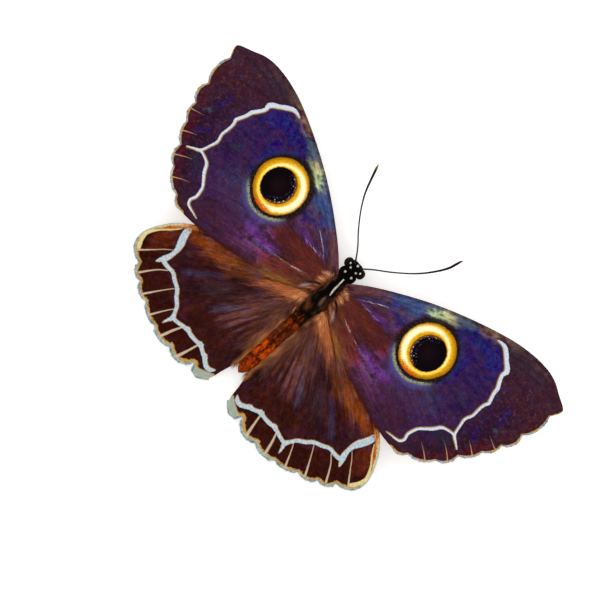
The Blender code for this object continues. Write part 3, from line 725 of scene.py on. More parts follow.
def run_tree(name, base, tree, values):
    """Runs a tree on a copy of a mesh object and gives the result as a plain mesh object."""
    work = add_object(name, base.data)
    modifier = work.modifiers.new("plant", "NODES")
    modifier.node_group = tree
    for item in tree.interface.items_tree:
        if item.item_type == "SOCKET" and item.in_out == "INPUT" and item.name in values:
            modifier[item.identifier] = values[item.name]
    bpy.context.view_layer.update()
    graph = bpy.context.evaluated_depsgraph_get()
    mesh = bpy.data.meshes.new_from_object(work.evaluated_get(graph), depsgraph=graph)
    work.modifiers.clear()
    work.data = mesh
    mesh.name = name
    if not len(mesh.polygons):
        raise RuntimeError(f"{name} came out empty")
    mesh.shade_smooth()
    return work


def drop(*helpers):
    """Removes helper objects and their meshes."""
    for obj in helpers:
        mesh = obj.data
        bpy.data.objects.remove(obj)
        if mesh.users == 0:
            bpy.data.meshes.remove(mesh)


def settle(obj, slot, *nodes):
    """Attaches a piece to the root body and hides the solids that it stands for; the slot, its finish, is
    not used.
    """
    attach(obj, "root")
    if nodes:
        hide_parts(*nodes)


def plant(name, bed, coat, slot, **sizes):
    """Plants a coat of (tree, tuft, material) on a bed and attaches the result to the root body."""
    tree, tuft, material = coat
    values = {"Tuft": tuft, "Material": material, **{key.title(): v for key, v in sizes.items()}}
    settle(run_tree(name, bed, tree, values), slot)


# --- ground colours: soft strokes laid over one another ---
FORE_PATCHES = [               # colour, strength, softness, stroke of (across, ahead, width)
    ((58, 31, 42), 1, 5, [(53, 24, 6), (58, 21, 8), (60, 14, 4)]),
    ((45, 23, 45), 0.9, 4, [(55, 11, 7), (55, 5, 6), (52, 0, 5), (48, -7, 7)]),
    ((50, 38, 50), 0.8, 2.5, [(46, 26.5, 2), (52, 27, 3), (57, 26.5, 1.5)]),
    ((54, 34, 70), 1, 5, [(36, 14, 14), (44, 12, 12), (45, 3, 9), (40, -5, 9), (36, -10, 6)]),
    ((48, 33, 76), 1, 3.5, [(35, 18, 9), (41, 17, 9), (45, 14, 6)]),
    ((40, 38, 102), 0.95, 2.2, [(33, 21, 2.5), (37, 22.4, 3.5), (42, 22.6, 4), (45.5, 20, 3)]),
    ((40, 34, 104), 0.6, 1.8, [(38.5, 17, 1), (39, 11, 1.5), (38.6, 7, 1)]),
    ((66, 44, 74), 0.9, 4, [(27, -2, 5), (33, -2, 6), (39, -1, 5)]),
    ((66, 36, 62), 0.9, 3.5, [(20, -7, 4), (28, -9, 5), (36, -9, 4)]),
    ((60, 31, 46), 0.9, 2.6, [(34, -10.5, 2), (38, -9.5, 4), (40, -12, 2)]),
    ((38, 23, 58), 0.7, 2.4, [(46.5, 9, 2), (46.5, 5, 3)]),
    ((116, 52, 46), 1, 2.4, [(3, 1.5, 5), (9, 1.6, 5.5), (16, 1.5, 4.4), (22, 0.8, 2.6)]),
    ((90, 40, 44), 0.7, 2, [(17, 1.5, 3), (24, 1.2, 2.4)]),
    ((122, 54, 54), 0.9, 2.4, [(7, -1.5, 3), (13, -4.8, 3.4), (19, -6.8, 2.6)]),
    ((134, 72, 54), 0.8, 1.6, [(3, -0.8, 2.2), (8, -3.4, 1.8), (13, -6.2, 1.3), (18, -8.8, 0.8)]),
    ((116, 76, 86), 1, 1.8, [(3.5, 6, 1.6), (8, 8.8, 3), (12, 11.4, 2.6)]),
    ((76, 62, 92), 1, 1.8, [(10, 8, 0.2), (13, 9.8, 1.8), (17, 10.9, 3.4), (22, 12.5, 4)]),
    ((64, 84, 128), 0.95, 2.2, [(12.5, 12.6, 1.2), (16, 14.6, 2.6), (20, 16.4, 3.4), (23.5, 18, 2.8)]),
    ((104, 64, 98), 0.9, 1.6, [(10, 6.4, 0.6), (15, 7.6, 1.8), (19, 7.6, 2)]),
    ((40, 34, 88), 0.9, 1.6, [(17, 9.8, 0.8), (20.5, 9.2, 2)]),
    ((104, 60, 108), 0.8, 1.1, [(9, 5.2, 0.3), (14, 5.3, 0.9), (19, 5, 0.7)]),
    ((60, 64, 132), 0.75, 0.6, [(5.8, 4.5, 0.3), (9, 7, 0.5), (13, 9.9, 0.9), (16, 12, 1.4)]),
    ((116, 68, 160), 0.75, 0.4, [(6.5, 4.6, 0.3), (10, 4.9, 0.5), (14, 5.1, 0.6), (17, 5.2, 0.2)]),
    ((112, 116, 112), 0.8, 1.6, [(21.5, 17.3, 0.8), (24.5, 19.2, 1.6), (28.5, 21.2, 1.6)]),
    ((172, 198, 150), 1, 1.4, [(23.6, 17.3, 0.9), (25.2, 18.2, 2.4), (27.4, 19.3, 1.6)]),
    ((218, 222, 168), 0.88, 1.2, [(24.4, 17.7, 1.2), (26.6, 18.9, 1.5)]),
    ((184, 166, 128), 0.9, 0.8, [(26.2, 20.1, 0.6), (28.6, 20.4, 1)]),
    ((80, 94, 106), 0.95, 1.2, [(29.4, 21.4, 1.2), (31.8, 22.4, 1.8), (33.6, 23.4, 0.8)]),
    ((106, 88, 96), 0.8, 0.9, [(36, 23.9, 0.3), (38.5, 24.6, 0.9), (40.2, 25.4, 0.3)]),
    ((106, 88, 76), 0.9, 0.8, [(33.5, 24.9, 0.6), (38, 26.8, 1.2), (43, 28, 1.3), (47, 29, 0.8)]),
    ((150, 116, 84), 0.7, 0.7, [(35, 24.9, 0.5), (39.5, 26.4, 0.6), (42, 26.8, 0.3)]),
    ((74, 54, 56), 0.8, 0.8, [(44, 27.3, 0.8), (50, 28.9, 1), (56, 29.4, 0.5)]),
    ((122, 68, 150), 0.65, 2.4, [(18, -3.5, 0.6), (22, -3.7, 1), (26.5, -3.8, 1)]),
    ((72, 62, 124), 0.45, 2.2, [(24.5, -0.2, 0.6), (28, -1.5, 1.2), (33.5, -0.8, 0.8)]),
    ((92, 90, 140), 0.45, 1.1, [(16.5, -4.1, 0.3), (19.5, -4.9, 0.5), (23, -6, 0.5), (26, -6.6, 0.3)]),
    ((112, 66, 104), 0.6, 2.6, [(20, -7, 0.8), (24, -8.2, 1.6), (27.5, -8.8, 1)]),
    ((84, 44, 92), 0.45, 2.2, [(28, -6.6, 0.8), (32, -7.6, 0.8)]),
    ((62, 30, 30), 0.5, 1.8, [(16, -8.6, 0.6), (22, -10.6, 0.9), (28, -12.4, 0.6)]),
    ((48, 58, 92), 0.5, 2.4, [(37, 3.5, 1), (41, 1, 1.5)]),
    ((52, 66, 80), 0.3, 1.2, [(45, 9, 0.8), (45.5, 6.5, 0.6)]),
    ((40, 21, 38), 0.9, 3, [(58, 14, 2), (56.5, 8, 3), (55, 2, 2)]),
    ((41, 21, 32), 0.9, 1.8, [(55, 1, 1.6), (51.5, -6.5, 1.6), (48.5, -10.5, 1.6)]),
    ((38, 38, 54), 0.85, 1.3, [(49, -3.4, 2), (51.5, -2.8, 1.4)]),
    ((46, 26, 44), 0.7, 1.5, [(46.5, -8, 1.8), (45.5, -11, 1.2)]),
    ((44, 18, 34), 0.6, 0.8, [(31, -4.5, 0.1), (37, -6.5, 0.5), (43, -8.3, 0.2)]),
    ((150, 98, 46), 0.75, 1.2, [(8, -5.4, 0.4), (12, -7.6, 0.9), (16, -9.2, 0.6)]),
    ((20, 12, 30), 0.95, 0.3, [(3, -0.5, 0.3), (4.2, -1.3, 0.4), (5, -1.9, 0.2)]),
    ((62, 84, 92), 0.6, 0.6, [(58.2, 8.4, 0.5), (58.9, 8.2, 0.4)]),
    ((50, 34, 96), 0.6, 1, [(56.6, 14.6, 0.8), (57.2, 11.4, 0.8)]),
    ((50, 36, 98), 0.6, 0.9, [(54.6, 4.4, 0.8), (56, 2.8, 0.5)]),
    ((48, 38, 90), 0.4, 0.8, [(47.2, -7.2, 0.6), (48, -6.6, 0.5)]),
    ((74, 22, 26), 0.7, 1, [(59.5, 5, 1.2), (57, -0.6, 1.2), (53.8, -5.8, 1.2), (49.5, -10.4, 1.2)]),
    ((70, 28, 26), 0.6, 0.9, [(63.8, 21, 0.8), (62.9, 14, 0.8), (61, 8.4, 0.8)]),
    ((124, 68, 48), 0.55, 0.8, [(5.6, -0.4, 0.8), (7.4, -1.2, 0.9)]),
    ((132, 136, 122), 0.5, 0.7, [(27, 18.4, 0.6), (30.2, 20.2, 0.6)]),
]
HIND_PATCHES = [
    ((44, 20, 26), 1, 4, [(24, -26, 7), (30, -24, 6), (34, -22, 3)]),
    ((54, 23, 18), 0.95, 4, [(8, -32, 7), (17, -31, 7), (21, -29, 4)]),
    ((122, 74, 68), 0.95, 3.5, [(6, -11, 3), (8.5, -16, 4), (11, -20.5, 2.8), (12, -24, 1.2)]),
    ((64, 38, 42), 0.85, 3, [(19, -19, 3), (23, -23, 4)]),
    ((72, 28, 28), 0.9, 2.4, [(22, -17, 2), (27, -19, 3.4), (32, -20.5, 2)]),
    ((206, 122, 70), 1, 1.6, [(3.5, -4.6, 2.2), (6.5, -6.8, 2.8), (10, -8.8, 2.2), (13, -10, 1.2)]),
    ((152, 82, 44), 0.95, 2.6, [(13, -8.6, 3), (20, -12, 4.2), (26, -14.4, 3.8), (31, -16, 2.8)]),
    ((118, 60, 36), 0.9, 2.2, [(28, -14.2, 3), (33, -16.6, 2.8), (36.5, -17, 1.4)]),
    ((122, 74, 64), 0.7, 1.6, [(3.6, -8, 1.2), (5, -14, 1.8), (6.4, -20, 1.2)]),
    ((190, 122, 72), 0.95, 0.7, [(1.8, -8, 1), (2.7, -18, 1.3), (2.8, -26, 1.1), (3, -30.5, 0.7),
     (3.1, -32, 0.2)]),
    ((98, 55, 48), 0.9, 1.8, [(5.6, -18, 1.6), (6, -24, 2.4), (6, -27, 1)]),
    ((54, 25, 18), 0.75, 1, [(5, -30, 0.4), (5.2, -36, 1)]),
    ((64, 70, 92), 0.45, 1, [(11, -19, 0.5), (14.5, -23, 1), (17, -27, 0.6)]),
    ((58, 56, 84), 0.55, 0.6, [(22.5, -18.8, 0.2), (26, -21.4, 0.4), (30.5, -25.6, 0.3)]),
    ((64, 46, 84), 0.45, 0.8, [(21.5, -18.4, 0.4), (25, -20.6, 0.7)]),
    ((56, 70, 76), 0.35, 0.9, [(18.5, -19.6, 0.4), (21.5, -23.6, 0.5)]),
    ((50, 56, 44), 0.5, 0.8, [(33.2, -20.7, 0.7), (33.9, -21.5, 0.7)]),
    ((204, 142, 92), 0.85, 0.8, [(36.8, -15.2, 0.5), (38.4, -16.2, 1)]),
    ((116, 66, 74), 0.5, 1.2, [(10.4, -12.4, 1.2), (12.4, -14.2, 1.4)]),
    ((108, 66, 48), 0.5, 0.8, [(32.8, -35.4, 1), (34.8, -36.2, 1)]),
]
BLOCK_PATCHES = [              # between the pale band and the fringe of the hindwing
    ((47, 17, 11), 1, 0.6, [(40, -27, 9), (33, -34, 7), (25, -37.5, 6), (16, -39, 6), (9, -38.5, 4)]),
    ((92, 40, 26), 0.9, 1.4, [(39.2, -20, 0.8), (41, -23, 1.6), (42.4, -26.4, 0.8)]),
    ((82, 34, 24), 0.8, 0.9, [(38.4, -22.4, 0.8), (40, -26.2, 1.2), (41.6, -28.6, 0.6)]),
    ((190, 112, 58), 0.95, 0.5, [(38.4, -16.4, 0.7), (40.2, -18.3, 1.2), (41.9, -20.4, 1.2),
     (43.1, -22.6, 0.7)]),
    ((224, 176, 124), 0.8, 0.5, [(38.8, -16.4, 0.9), (39.8, -17.6, 0.8)]),
]
UNDER_FORE_PATCHES = [
    ((150, 120, 88), 0.9, 3, [(6, 2, 6), (16, 8, 8), (26, 14, 7)]),
    ((96, 70, 50), 0.9, 2, [(20, 0, 8), (30, 0, 10), (40, 0, 8)]),
    ((176, 152, 118), 0.9, 1.6, [(44, 25, 3), (46, 16, 3.5), (47, 6, 3.5), (45, -4, 3), (41, -11, 2)]),
    ((84, 60, 44), 0.9, 1.8, [(54, 24, 5), (56, 14, 5), (55, 4, 4), (50, -5, 4)]),
]
UNDER_HIND_PATCHES = [
    ((148, 116, 82), 0.9, 2.5, [(5, -8, 5), (12, -14, 6)]),
    ((172, 146, 110), 0.9, 1.6, [(38, -19, 3), (36, -25, 3), (28, -31, 3), (18, -35, 3)]),
    ((86, 60, 42), 0.9, 1.8, [(14, -26, 8), (22, -28, 6)]),
]

BLOCK_REACH = 1.35             # the field past the pale band reaches this many times its own width
HAIR_ROOT = {"fore": (0.6, 1.2), "hind": (0.0, -1.4)}    # strands spread away from this plan point
HAIR_DENSITY = {"fore": 7.0e7, "hind": 4.2e7}
STRAND_COOL, STRAND_WARM = (92, 80, 112), (150, 86, 46)
BRIGHTNESS = np.array((0.3, 0.6, 0.1))
GROUND = {"fore": (58, 33, 44), "hind": (58, 26, 32), "under": (118, 90, 64)}
WOBBLE_SEED = 1                # vector noise is seeded by the clock unless it is told otherwise


def noise_at(points):
    return np.array([noise.noise(Vector(point)) for point in points])


def pair_noise(pairs, first, second):
    """Noise of about -0.5 to 0.5 for each pair of values, with a scale for each way."""
    return noise_at(np.column_stack((pairs * (first, second), np.full(len(pairs), 3.1))))


def wobble(points, scale, amount):
    """Plan points pushed about by a smooth noise, so that painted edges waver."""
    noise.seed_set(WOBBLE_SEED)
    shift = [noise.noise_vector(Vector((x * scale, y * scale, 7.3))) for x, y in points]
    return points + np.array([(s.x, s.y) for s in shift]) * amount


def laid_over(colour, shade, share):
    """Colours mixed with a linear shade, or with a shade for each of them."""
    return colour + (np.array(shade) - colour) * share[:, None]


def combed(kind, plan, colour, strength=1.0):
    """Colours varied from strand to strand, as the hair spreads from a wing's root."""
    way = plan - np.array(HAIR_ROOT[kind])
    turns = np.column_stack((np.arctan2(way[:, 1], way[:, 0]), np.hypot(way[:, 0], way[:, 1])))
    broad, fine = pair_noise(turns, 9.0, 0.10), pair_noise(turns, 44.0, 0.55)
    cool = 0.5 * smooth_step(turns[:, 1], 8.0, 15.0)
    tint = pair_noise(turns + 7.0, 20.0, 0.22) + 0.5 * pair_noise(turns + 3.0, 60.0, 0.9)
    colour = colour * np.exp(strength * (0.5 * broad + 0.65 * fine))[:, None]
    bright = (colour @ BRIGHTNESS)[:, None]
    shares = cool * smooth_step(tint, 0.10, 0.45), smooth_step(-tint, 0.05, 0.40)
    for shade, share in zip((STRAND_COOL, STRAND_WARM), shares):
        shade = np.array(srgb(*shade))
        shade = bright * shade / (shade @ BRIGHTNESS)
        colour = laid_over(colour, shade, 0.42 * strength * share)
    return colour


def paint(points, ground, patches, mask=1.0, streak=0.0):
    """Ground colours at plan points: patches laid over the first colour, in order."""
    colour = np.tile(srgb(*ground), (len(points), 1)) if isinstance(ground, tuple) else ground
    moved = wobble(points, 0.28, 0.9)
    for shade, strength, softness, stroke in patches:
        gap = line_gap(moved, smooth_line(stroke, 1.0)) + streak * (softness + 0.5)
        share = strength * (1 - smooth_step(gap, -softness * 0.5, softness)) * mask
        colour = laid_over(colour, srgb(*shade), share)
    return colour


# --- wings ---
WINGS = {
    "fore": {
        "front": FORE_FRONT, "notches": FORE_NOTCHES, "lobes": FORE_LOBES, "lobe": [],
        "back": FORE_BACK, "corner": (66.1, 25.6), "root": 9.35, "veins": FORE_VEINS,
        "bands": [*([line] for line in FORE_LINE), FORE_TICKS, BASE_STREAKS],
        "patches": FORE_PATCHES, "under": UNDER_FORE_PATCHES,
    },
    "hind": {
        "front": HIND_FRONT, "notches": HIND_NOTCHES, "lobes": HIND_LOBES, "lobe": HIND_ANAL,
        "back": HIND_BACK, "corner": (40.6, -17.4), "root": 8.10, "veins": HIND_VEINS,
        "bands": [*([line] for line in HIND_LINE), HIND_TICKS, HIND_EDGE],
        "patches": HIND_PATCHES, "under": UNDER_HIND_PATCHES,
    },
}


def signed_line(points, lines):
    """(signed distance from the nearest line, its half width there, run along it) for each point.

    The distance changes sign across a line, so it stays exact between the points of a mesh, and the
    half width drops below zero past a line's ends and well away from it.
    """
    found = np.tile((FAR, -1.0, 0.0), (len(points), 1))
    nearest = np.full(len(points), FAR)
    for keys in lines:
        line = smooth_line(keys, 0.5)
        run = 0.0
        for a, b in zip(line, line[1:]):
            along = b[:2] - a[:2]
            length = float(np.linalg.norm(along))
            away = points - a[:2]
            t = (away @ along) / length**2
            held = np.clip(t, 0, 1)
            distance = np.linalg.norm(away - held[:, None] * along, axis=1)
            side = (along[0] * away[:, 1] - along[1] * away[:, 0]) / length
            past = np.abs(t - held) * length
            closer = distance < nearest
            nearest = np.where(closer, distance, nearest)
            half = (a[2] + (b[2] - a[2]) * held) / 2 - 1.5 * past * (np.abs(side) < past * 4)
            found[closer] = np.column_stack((side, half, run + held * length))[closer]
            run += length
    found[np.abs(found[:, 0]) > 1.6, 1] = -1.0
    return found


def fringe_share(kind, points):
    """How long the fringe is along a wing's outer edge, as a share of the longest."""
    notches = [np.linalg.norm(points - np.array(at), axis=1) for at in WINGS[kind]["notches"]]
    deep = smooth_step(np.min(notches, axis=0), 0.2, 1.8)
    if kind == "fore":
        return 0.62 * smooth_step(-points[:, 1], -23.8, -21.0) * (0.4 + 0.6 * deep)
    front = smooth_step(points[:, 1], -31.0, -27.5) * smooth_step(points[:, 0], 36.0, 40.0)
    return (0.84 - 0.5 * front) * (0.55 + 0.45 * deep)


def grid_flow(number):
    """The unwrap of a wing, from 0 to 1 both ways, for the numbers of its points."""
    return np.column_stack(np.divmod(number, WING_COLUMNS + 1)) / (WING_ROWS, WING_COLUMNS)


def wing_values(kind, plan, edges, vein_gap):
    """The painted values that the wing's materials read, for each plan point."""
    wing = WINGS[kind]
    front, outer, rear = edges
    flow = grid_flow(np.arange(len(plan)))
    streak = pair_noise(flow, 2.5, 34.0) + 0.6 * pair_noise(flow, 5.0, 90.0)
    if kind == "fore":
        streak = 0.35 * streak + 0.8 * pair_noise(plan, 0.50, 0.62) + 0.6 * pair_noise(plan, 1.3, 1.5)
    values = {
        "margin": line_gap(plan, outer), "costa": line_gap(plan, front), "rear": line_gap(plan, rear),
        "vein": vein_gap, "ground": paint(plan, GROUND[kind], wing["patches"], streak=streak),
        "under": paint(plan, GROUND["under"], wing["under"]),
    }
    if kind == "fore":
        comb = 0.55 * smooth_step(-plan[:, 0], -24.0, -10.0)
    else:
        line = np.concatenate([smooth_line(part, 0.5)[:, :2] for part in HIND_LINE])
        to_line, width = line_gap(plan, line), line_gap(line, outer).max()
        beyond = np.minimum(to_line, width - values["margin"])
        beyond = np.where(values["margin"] + to_line < width * BLOCK_REACH, beyond, -1.0)
        beyond = smooth_step(beyond, 0, 0.3)
        values["ground"] = paint(plan, values["ground"], BLOCK_PATCHES, beyond)
        values["lobe"] = line_gap(plan, smooth_line(PALE_LOBE, 0.5))
        comb = 1.0 - 0.5 * beyond
    values["ground"] = combed(kind, plan, values["ground"], comb)
    for number, lines in enumerate(wing["bands"]):
        values[f"band_{number}"] = signed_line(plan, lines)
    return values


@functools.cache
def wing_shape(kind, thickness, vein_height):
    """A wing's plan points, outer edge, heights of both faces and painted values."""
    front, outer, rear = wing_edges(WINGS[kind])
    outer = inset(outer, FRINGE * 0.55 * fringe_share(kind, outer))
    plan = patch_grid(front, outer, rear).reshape(-1, 2)
    gap = np.min([line_gap(plan, smooth_line(vein, 0.6)) for vein in WINGS[kind]["veins"]], axis=0)
    half = VEIN_HALF_WIDTH * (1 - VEIN_TAPER * (np.linalg.norm(plan, axis=1) / WING_REACH))
    ridge = np.cos(np.clip(gap / half, 0, 1) * math.pi / 2) ** 2
    level = wing_height(kind, plan) - PLEAT * smooth_step(gap, 0.4, 2.6)
    under = level - thickness / MM - VEIN_RISE * 0.4 * ridge
    values = wing_values(kind, plan, (front, outer, rear), gap)
    return plan, outer, level + (vein_height / MM) * ridge, under, values


def each_wing(settings):
    """(kind, side's name, side, shape) for each of the four wings."""
    for kind in WINGS:
        shape = wing_shape(kind, settings.thickness, settings.vein_height)
        for side_name, side in SIDES:
            yield kind, side_name, side, shape


def build_wing(kind, side_name, side, shape, materials):
    """One wing: an upper and an under face of scales on one closed membrane."""
    plan, _, upper, under, values = shape
    total = len(plan)
    points = [place(np.column_stack((plan, height)), side) for height in (upper, under)]
    number, top = grid_faces(WING_ROWS + 1, WING_COLUMNS + 1)
    around = np.concatenate([number[0, :-1], number[:-1, -1], number[-1, :0:-1], number[:0:-1, 0]])
    ahead = np.roll(around, -1)
    rim = np.stack([around, ahead, ahead + total, around + total], -1)
    if side < 0:
        top = top[:, ::-1]
    else:
        rim = rim[:, ::-1]
    faces = np.concatenate([top, top[:, ::-1] + total, rim])
    flow = grid_flow(faces.ravel() % total)
    name = f"{kind}wing_{side_name}"
    obj = mesh_from(f"{name}_scales", np.concatenate(points), faces.tolist(), flow)
    for material in materials:
        obj.data.materials.append(material)
    index = np.zeros(len(faces), np.int32)
    index[len(top): 2 * len(top)] = 1
    obj.data.polygons.foreach_set("material_index", index)
    values = {"plan": np.column_stack((plan, np.zeros(total))), **values}
    set_values(obj, **{key: np.concatenate([value, value]) for key, value in values.items()})
    settle(obj, f"{kind}wing_scales", name)


# --- shader groups ---
def streaks():
    """Streaks that run along a surface's own unwrap: a value round 0.5."""
    sockets = {"UV": "Vector", "Count": 60.0, "Length": 3.0}
    b, given = new_group("streaks", sockets, {"Value": "Float"})
    at = b.vector("MULTIPLY", given["UV"], b.combined(given["Length"], given["Count"], 1.0))
    return b.give(Value=b.noise(at, 1.0, 4.0, 0.65))


def scale_rows():
    """Rows of tiny scales: a tone for each scale and the height of its raised edge."""
    sockets = {"Vector": "Vector", "Size": 5000.0}
    b, given = new_group("scale_rows", sockets, {"Tone": "Float", "Height": "Float"})
    cell = b.node("ShaderNodeTexVoronoi", {"Vector": given["Vector"], "Scale": given["Size"]})
    return b.give(Tone=b.channels(cell["Color"])[0], Height=cell["Distance"])


def mottle():
    """A colour that wavers in hue and tone, with warm and cool flecks."""
    b, given = new_group("mottle", {
        "Color": "Color", "Vector": "Vector", "Streak": 0.5, "Streaks": 1.2, "Amount": 1.0,
        "Hue": 0.04, "Flecks": 0.0,
    }, {"Color": "Color"})
    at = given["Vector"]

    def swing(value, size):
        return (value - 0.5) * size * given["Amount"]

    patch = b.channels(b.noise(at, 650.0, 4.0, 0.7, "Color"))
    tone = 1.0 + (swing(patch[1], 1.1) + swing(b.noise(at, 2600.0, 2.0, 0.75), 1.6))
    tone = tone + swing(given["Streak"], given["Streaks"])
    hue, richness = 0.5 + swing(patch[0], given["Hue"]), 1.08 + swing(patch[2], 0.8)
    colour = b.varied(hue, richness, tone, given["Color"])
    speck = b.channels(b.noise(at, 1050.0, 4.0, 0.75, "Color"))
    for index, shade in enumerate((srgb(136, 74, 54), srgb(60, 58, 120))):
        colour = b.mix(b.span(speck[index], 0.54, 0.66) * given["Flecks"], colour, shade)
    return b.give(Color=colour)


def eyespot():
    """An owl's eye over the ground: dark surround, bright ring and black pupil."""
    places = dict.fromkeys(("Pupil Middle", "Pupil Half", "Ring Middle", "Ring Half"), "Vector")
    b, given = new_group("eyespot", {
        "Ground": "Color", "Plan": "Vector", **places, "Bright": "Color", "Gold": "Color", "Dots": 1.0,
    }, {"Color": "Color"})
    plan = given["Plan"]
    waver = b.vector("SUBTRACT", b.noise(plan, 1.1, 3.0, 0.6, "Color"), (0.5, 0.5, 0.5))
    waver = b.vector("MULTIPLY", b.vector("SCALE", waver, 0.55), (1.0, 1.0, 0.0))
    moved = b.vector("ADD", plan, waver)

    def way_from(label):
        away = b.vector("SUBTRACT", moved, given[f"{label} Middle"])
        return b.vector("DIVIDE", away, given[f"{label} Half"])

    pupil_way, ring_way = way_from("Pupil"), way_from("Ring")
    pupil, ring = b.vector("LENGTH", pupil_way), b.vector("LENGTH", ring_way)
    parts = b.parts(b.vector("NORMALIZE", ring_way))
    outward, forward = parts[0], parts[1]
    low = outward - forward * 1.2
    ring = ring + b.span(low, 0.9, 1.6) * 0.06
    outer = b.span(outward, -0.35, 0.75)
    behind = b.span(forward * -1.0, 0.42, 0.80)
    # the surround: blackish and broad on the body's side, a blue bloom on the outer side
    rough = b.noise(plan, 2.2, 3.0, 0.7) - 0.5
    wide = ring + outer * 0.09 - b.span(low, 0.95, 1.5) * 0.09 + behind * 0.02 + rough * 0.16
    bloom = b.span(ring, 1.30, 1.08) * outer * 0.5
    colour = b.mix(bloom, given["Ground"], srgb(30, 56, 116))
    tinge = b.mix(b.clouds(plan, 1.6, 3.0, 0.7, 0.42, 0.62), srgb(16, 11, 15), srgb(48, 32, 24))
    colour = b.mix(b.span(wide, 1.28, 1.15) * 0.97, colour, tinge)
    glow = b.span(wide, 1.14, 1.22) * b.span(wide, 1.48, 1.24) * behind
    colour = b.mix(glow * 0.5, colour, srgb(88, 92, 150))
    pale = b.span(wide, 1.11, 1.16) * b.span(wide, 1.27, 1.19) * behind * b.span(rough, -0.22, 0.06)
    shade = b.mix(b.clouds(plan, 1.3, 2.0, 0.6, 0.42, 0.58), srgb(168, 168, 118), srgb(136, 142, 138))
    colour = b.mix(pale * 0.9, colour, shade)
    # the ring, from the pupil's edge to the outer edge
    from_pupil = pupil - 1.0
    across = b.math("MAXIMUM", from_pupil + (1.0 - ring), 0.001)
    across = b.math("DIVIDE", from_pupil, across, clamp=True) + rough * 0.14
    away = b.math("ABSOLUTE", across - (0.46 - outward * 0.20))
    round_it = b.math("ADD", outward * 0.5, 0.5, clamp=True)
    band = b.mix(b.span(away, 0.46 - round_it * 0.12, 0.10), given["Gold"], srgb(255, 218, 84))
    wide = 0.36 - round_it * 0.22
    cream = 1.0 - b.span(round_it, 0.12, 0.80) * 0.30
    cream = b.math("SUBTRACT", cream, b.span(low, 0.80, 1.20) * 0.75, clamp=True)
    band = b.mix(cream * b.span(away, wide, wide * 0.2), band, given["Bright"])
    worn = b.clouds(plan, 1.4, 4.0, 0.75, 0.44, 0.64) * b.span(away, 0.10, 0.34)
    band = b.mix(worn * 0.5, band, srgb(196, 130, 2))
    far = 0.86 - round_it * 0.23 - b.span(low, 0.85, 1.25) * 0.14
    edge = b.math("MAXIMUM", b.span(across, 0.10, -0.08), b.span(across, far, 1.04) * 0.9)
    band = b.mix(edge, band, srgb(146, 92, 6))
    fleck = b.span(forward * -1.0, 0.86, 0.97) * b.span(across, 0.45, 0.7)
    fleck = fleck * b.clouds(plan, 3.0, 2.0, 0.6, 0.42, 0.52)
    band = b.mix(fleck * given["Dots"], band, srgb(208, 70, 8))
    colour = b.mix(b.span(ring, 1.02, 0.985), colour, band)
    # the pupil, with rows of tiny pale scales along its inner side
    hole = b.mix(b.span(pupil, 0.75, 0.1), srgb(9, 5, 9), srgb(24, 9, 14))
    side = b.span(outward, 0.20, -0.35)
    hole = b.mix(side * b.span(pupil, 0.82, 1.0) * 0.8, hole, srgb(138, 84, 20))
    clump = b.clouds(plan, 1.1, 2.0, 0.6, 0.36, 0.56) * 0.7 + 0.3
    rows = b.span(pupil, 0.56, 0.84) * b.span(pupil, 0.97, 0.92) * clump
    parts = b.parts(pupil_way)
    polar = b.combined(b.math("ARCTAN2", parts[1], parts[0]) * 5.6, pupil * 6.0, 0.0)
    inputs = {"Vector": polar, "Scale": 1.25, "Randomness": 0.85}
    cell = b.node("ShaderNodeTexVoronoi", inputs, voronoi_dimensions="2D")
    tones = b.channels(cell["Color"])
    dot = b.span(cell["Distance"], tones[0] * 0.26 + 0.10, 0.08)
    dot = dot * rows * (side * given["Dots"])
    scales = b.mix(b.span(tones[1], 0.3, 0.8), srgb(120, 96, 176), srgb(226, 214, 238))
    return b.give(Color=b.mix(b.span(pupil, 1.02, 0.97), colour, b.mix(dot, hole, scales)))


def pale_band():
    """Masks of a pale line and its warm rim, from the distance outside the line in mm."""
    b, given = new_group("pale_band", {
        "Gap": "Float", "Inner Gap": FAR, "Plan": "Vector", "Waver": 0.45, "Rim": 0.22,
    }, {"Line": "Float", "Rim": "Float"})
    push = (b.noise(given["Plan"], 2.4, 4.0, 0.75) - 0.5) * given["Waver"]
    inner = given["Inner Gap"] + push
    rim = b.span(inner, given["Rim"], 0.0) * b.span(inner, -0.30, -0.05)
    return b.give(Line=b.span(given["Gap"] + push, 0.10, -0.10), Rim=rim)


# --- materials of the wings ---
def band_gap(b, numbers, inner=False):
    """The least distance outside the numbered lines, or outside their inner side alone."""
    gaps = []
    for number in numbers:
        parts = b.parts(b.value(f"band_{number}", "Vector"))
        gap = b.math("ABSOLUTE", parts[0]) - parts[1]
        gaps.append(gap + b.span(parts[0], -0.05, 0.2) * FAR if inner else gap)
    return functools.reduce(lambda one, other: b.math("MINIMUM", one, other), gaps)


def owl_eye(b, colour, plan, pupil, ring, **tones):
    """An eyespot over a colour; pupil and ring are (across, ahead, half sizes both ways)."""
    return b.use(
        eyespot, Ground=colour, Plan=plan, Pupil_Middle=(*pupil[:2], 0), Pupil_Half=(*pupil[2:], 1),
        Ring_Middle=(*ring[:2], 0), Ring_Half=(*ring[2:], 1), **tones,
    )["Color"]


def finish_wing(made, b, colour):
    """Feeds a wing's shader: the colour, toned and raised by rows of scales."""
    at = b.at()
    scales = b.use(scale_rows, Vector=at, Size=5200.0)
    height = scales["Height"] + b.noise(at, 900.0, 3.0, 0.6)
    colour = b.toned(colour, scales["Tone"] * 0.28 + 0.86)
    return b.shade(made, Base_Color=colour, Normal=b.bump(0.35, 0.00006, height))


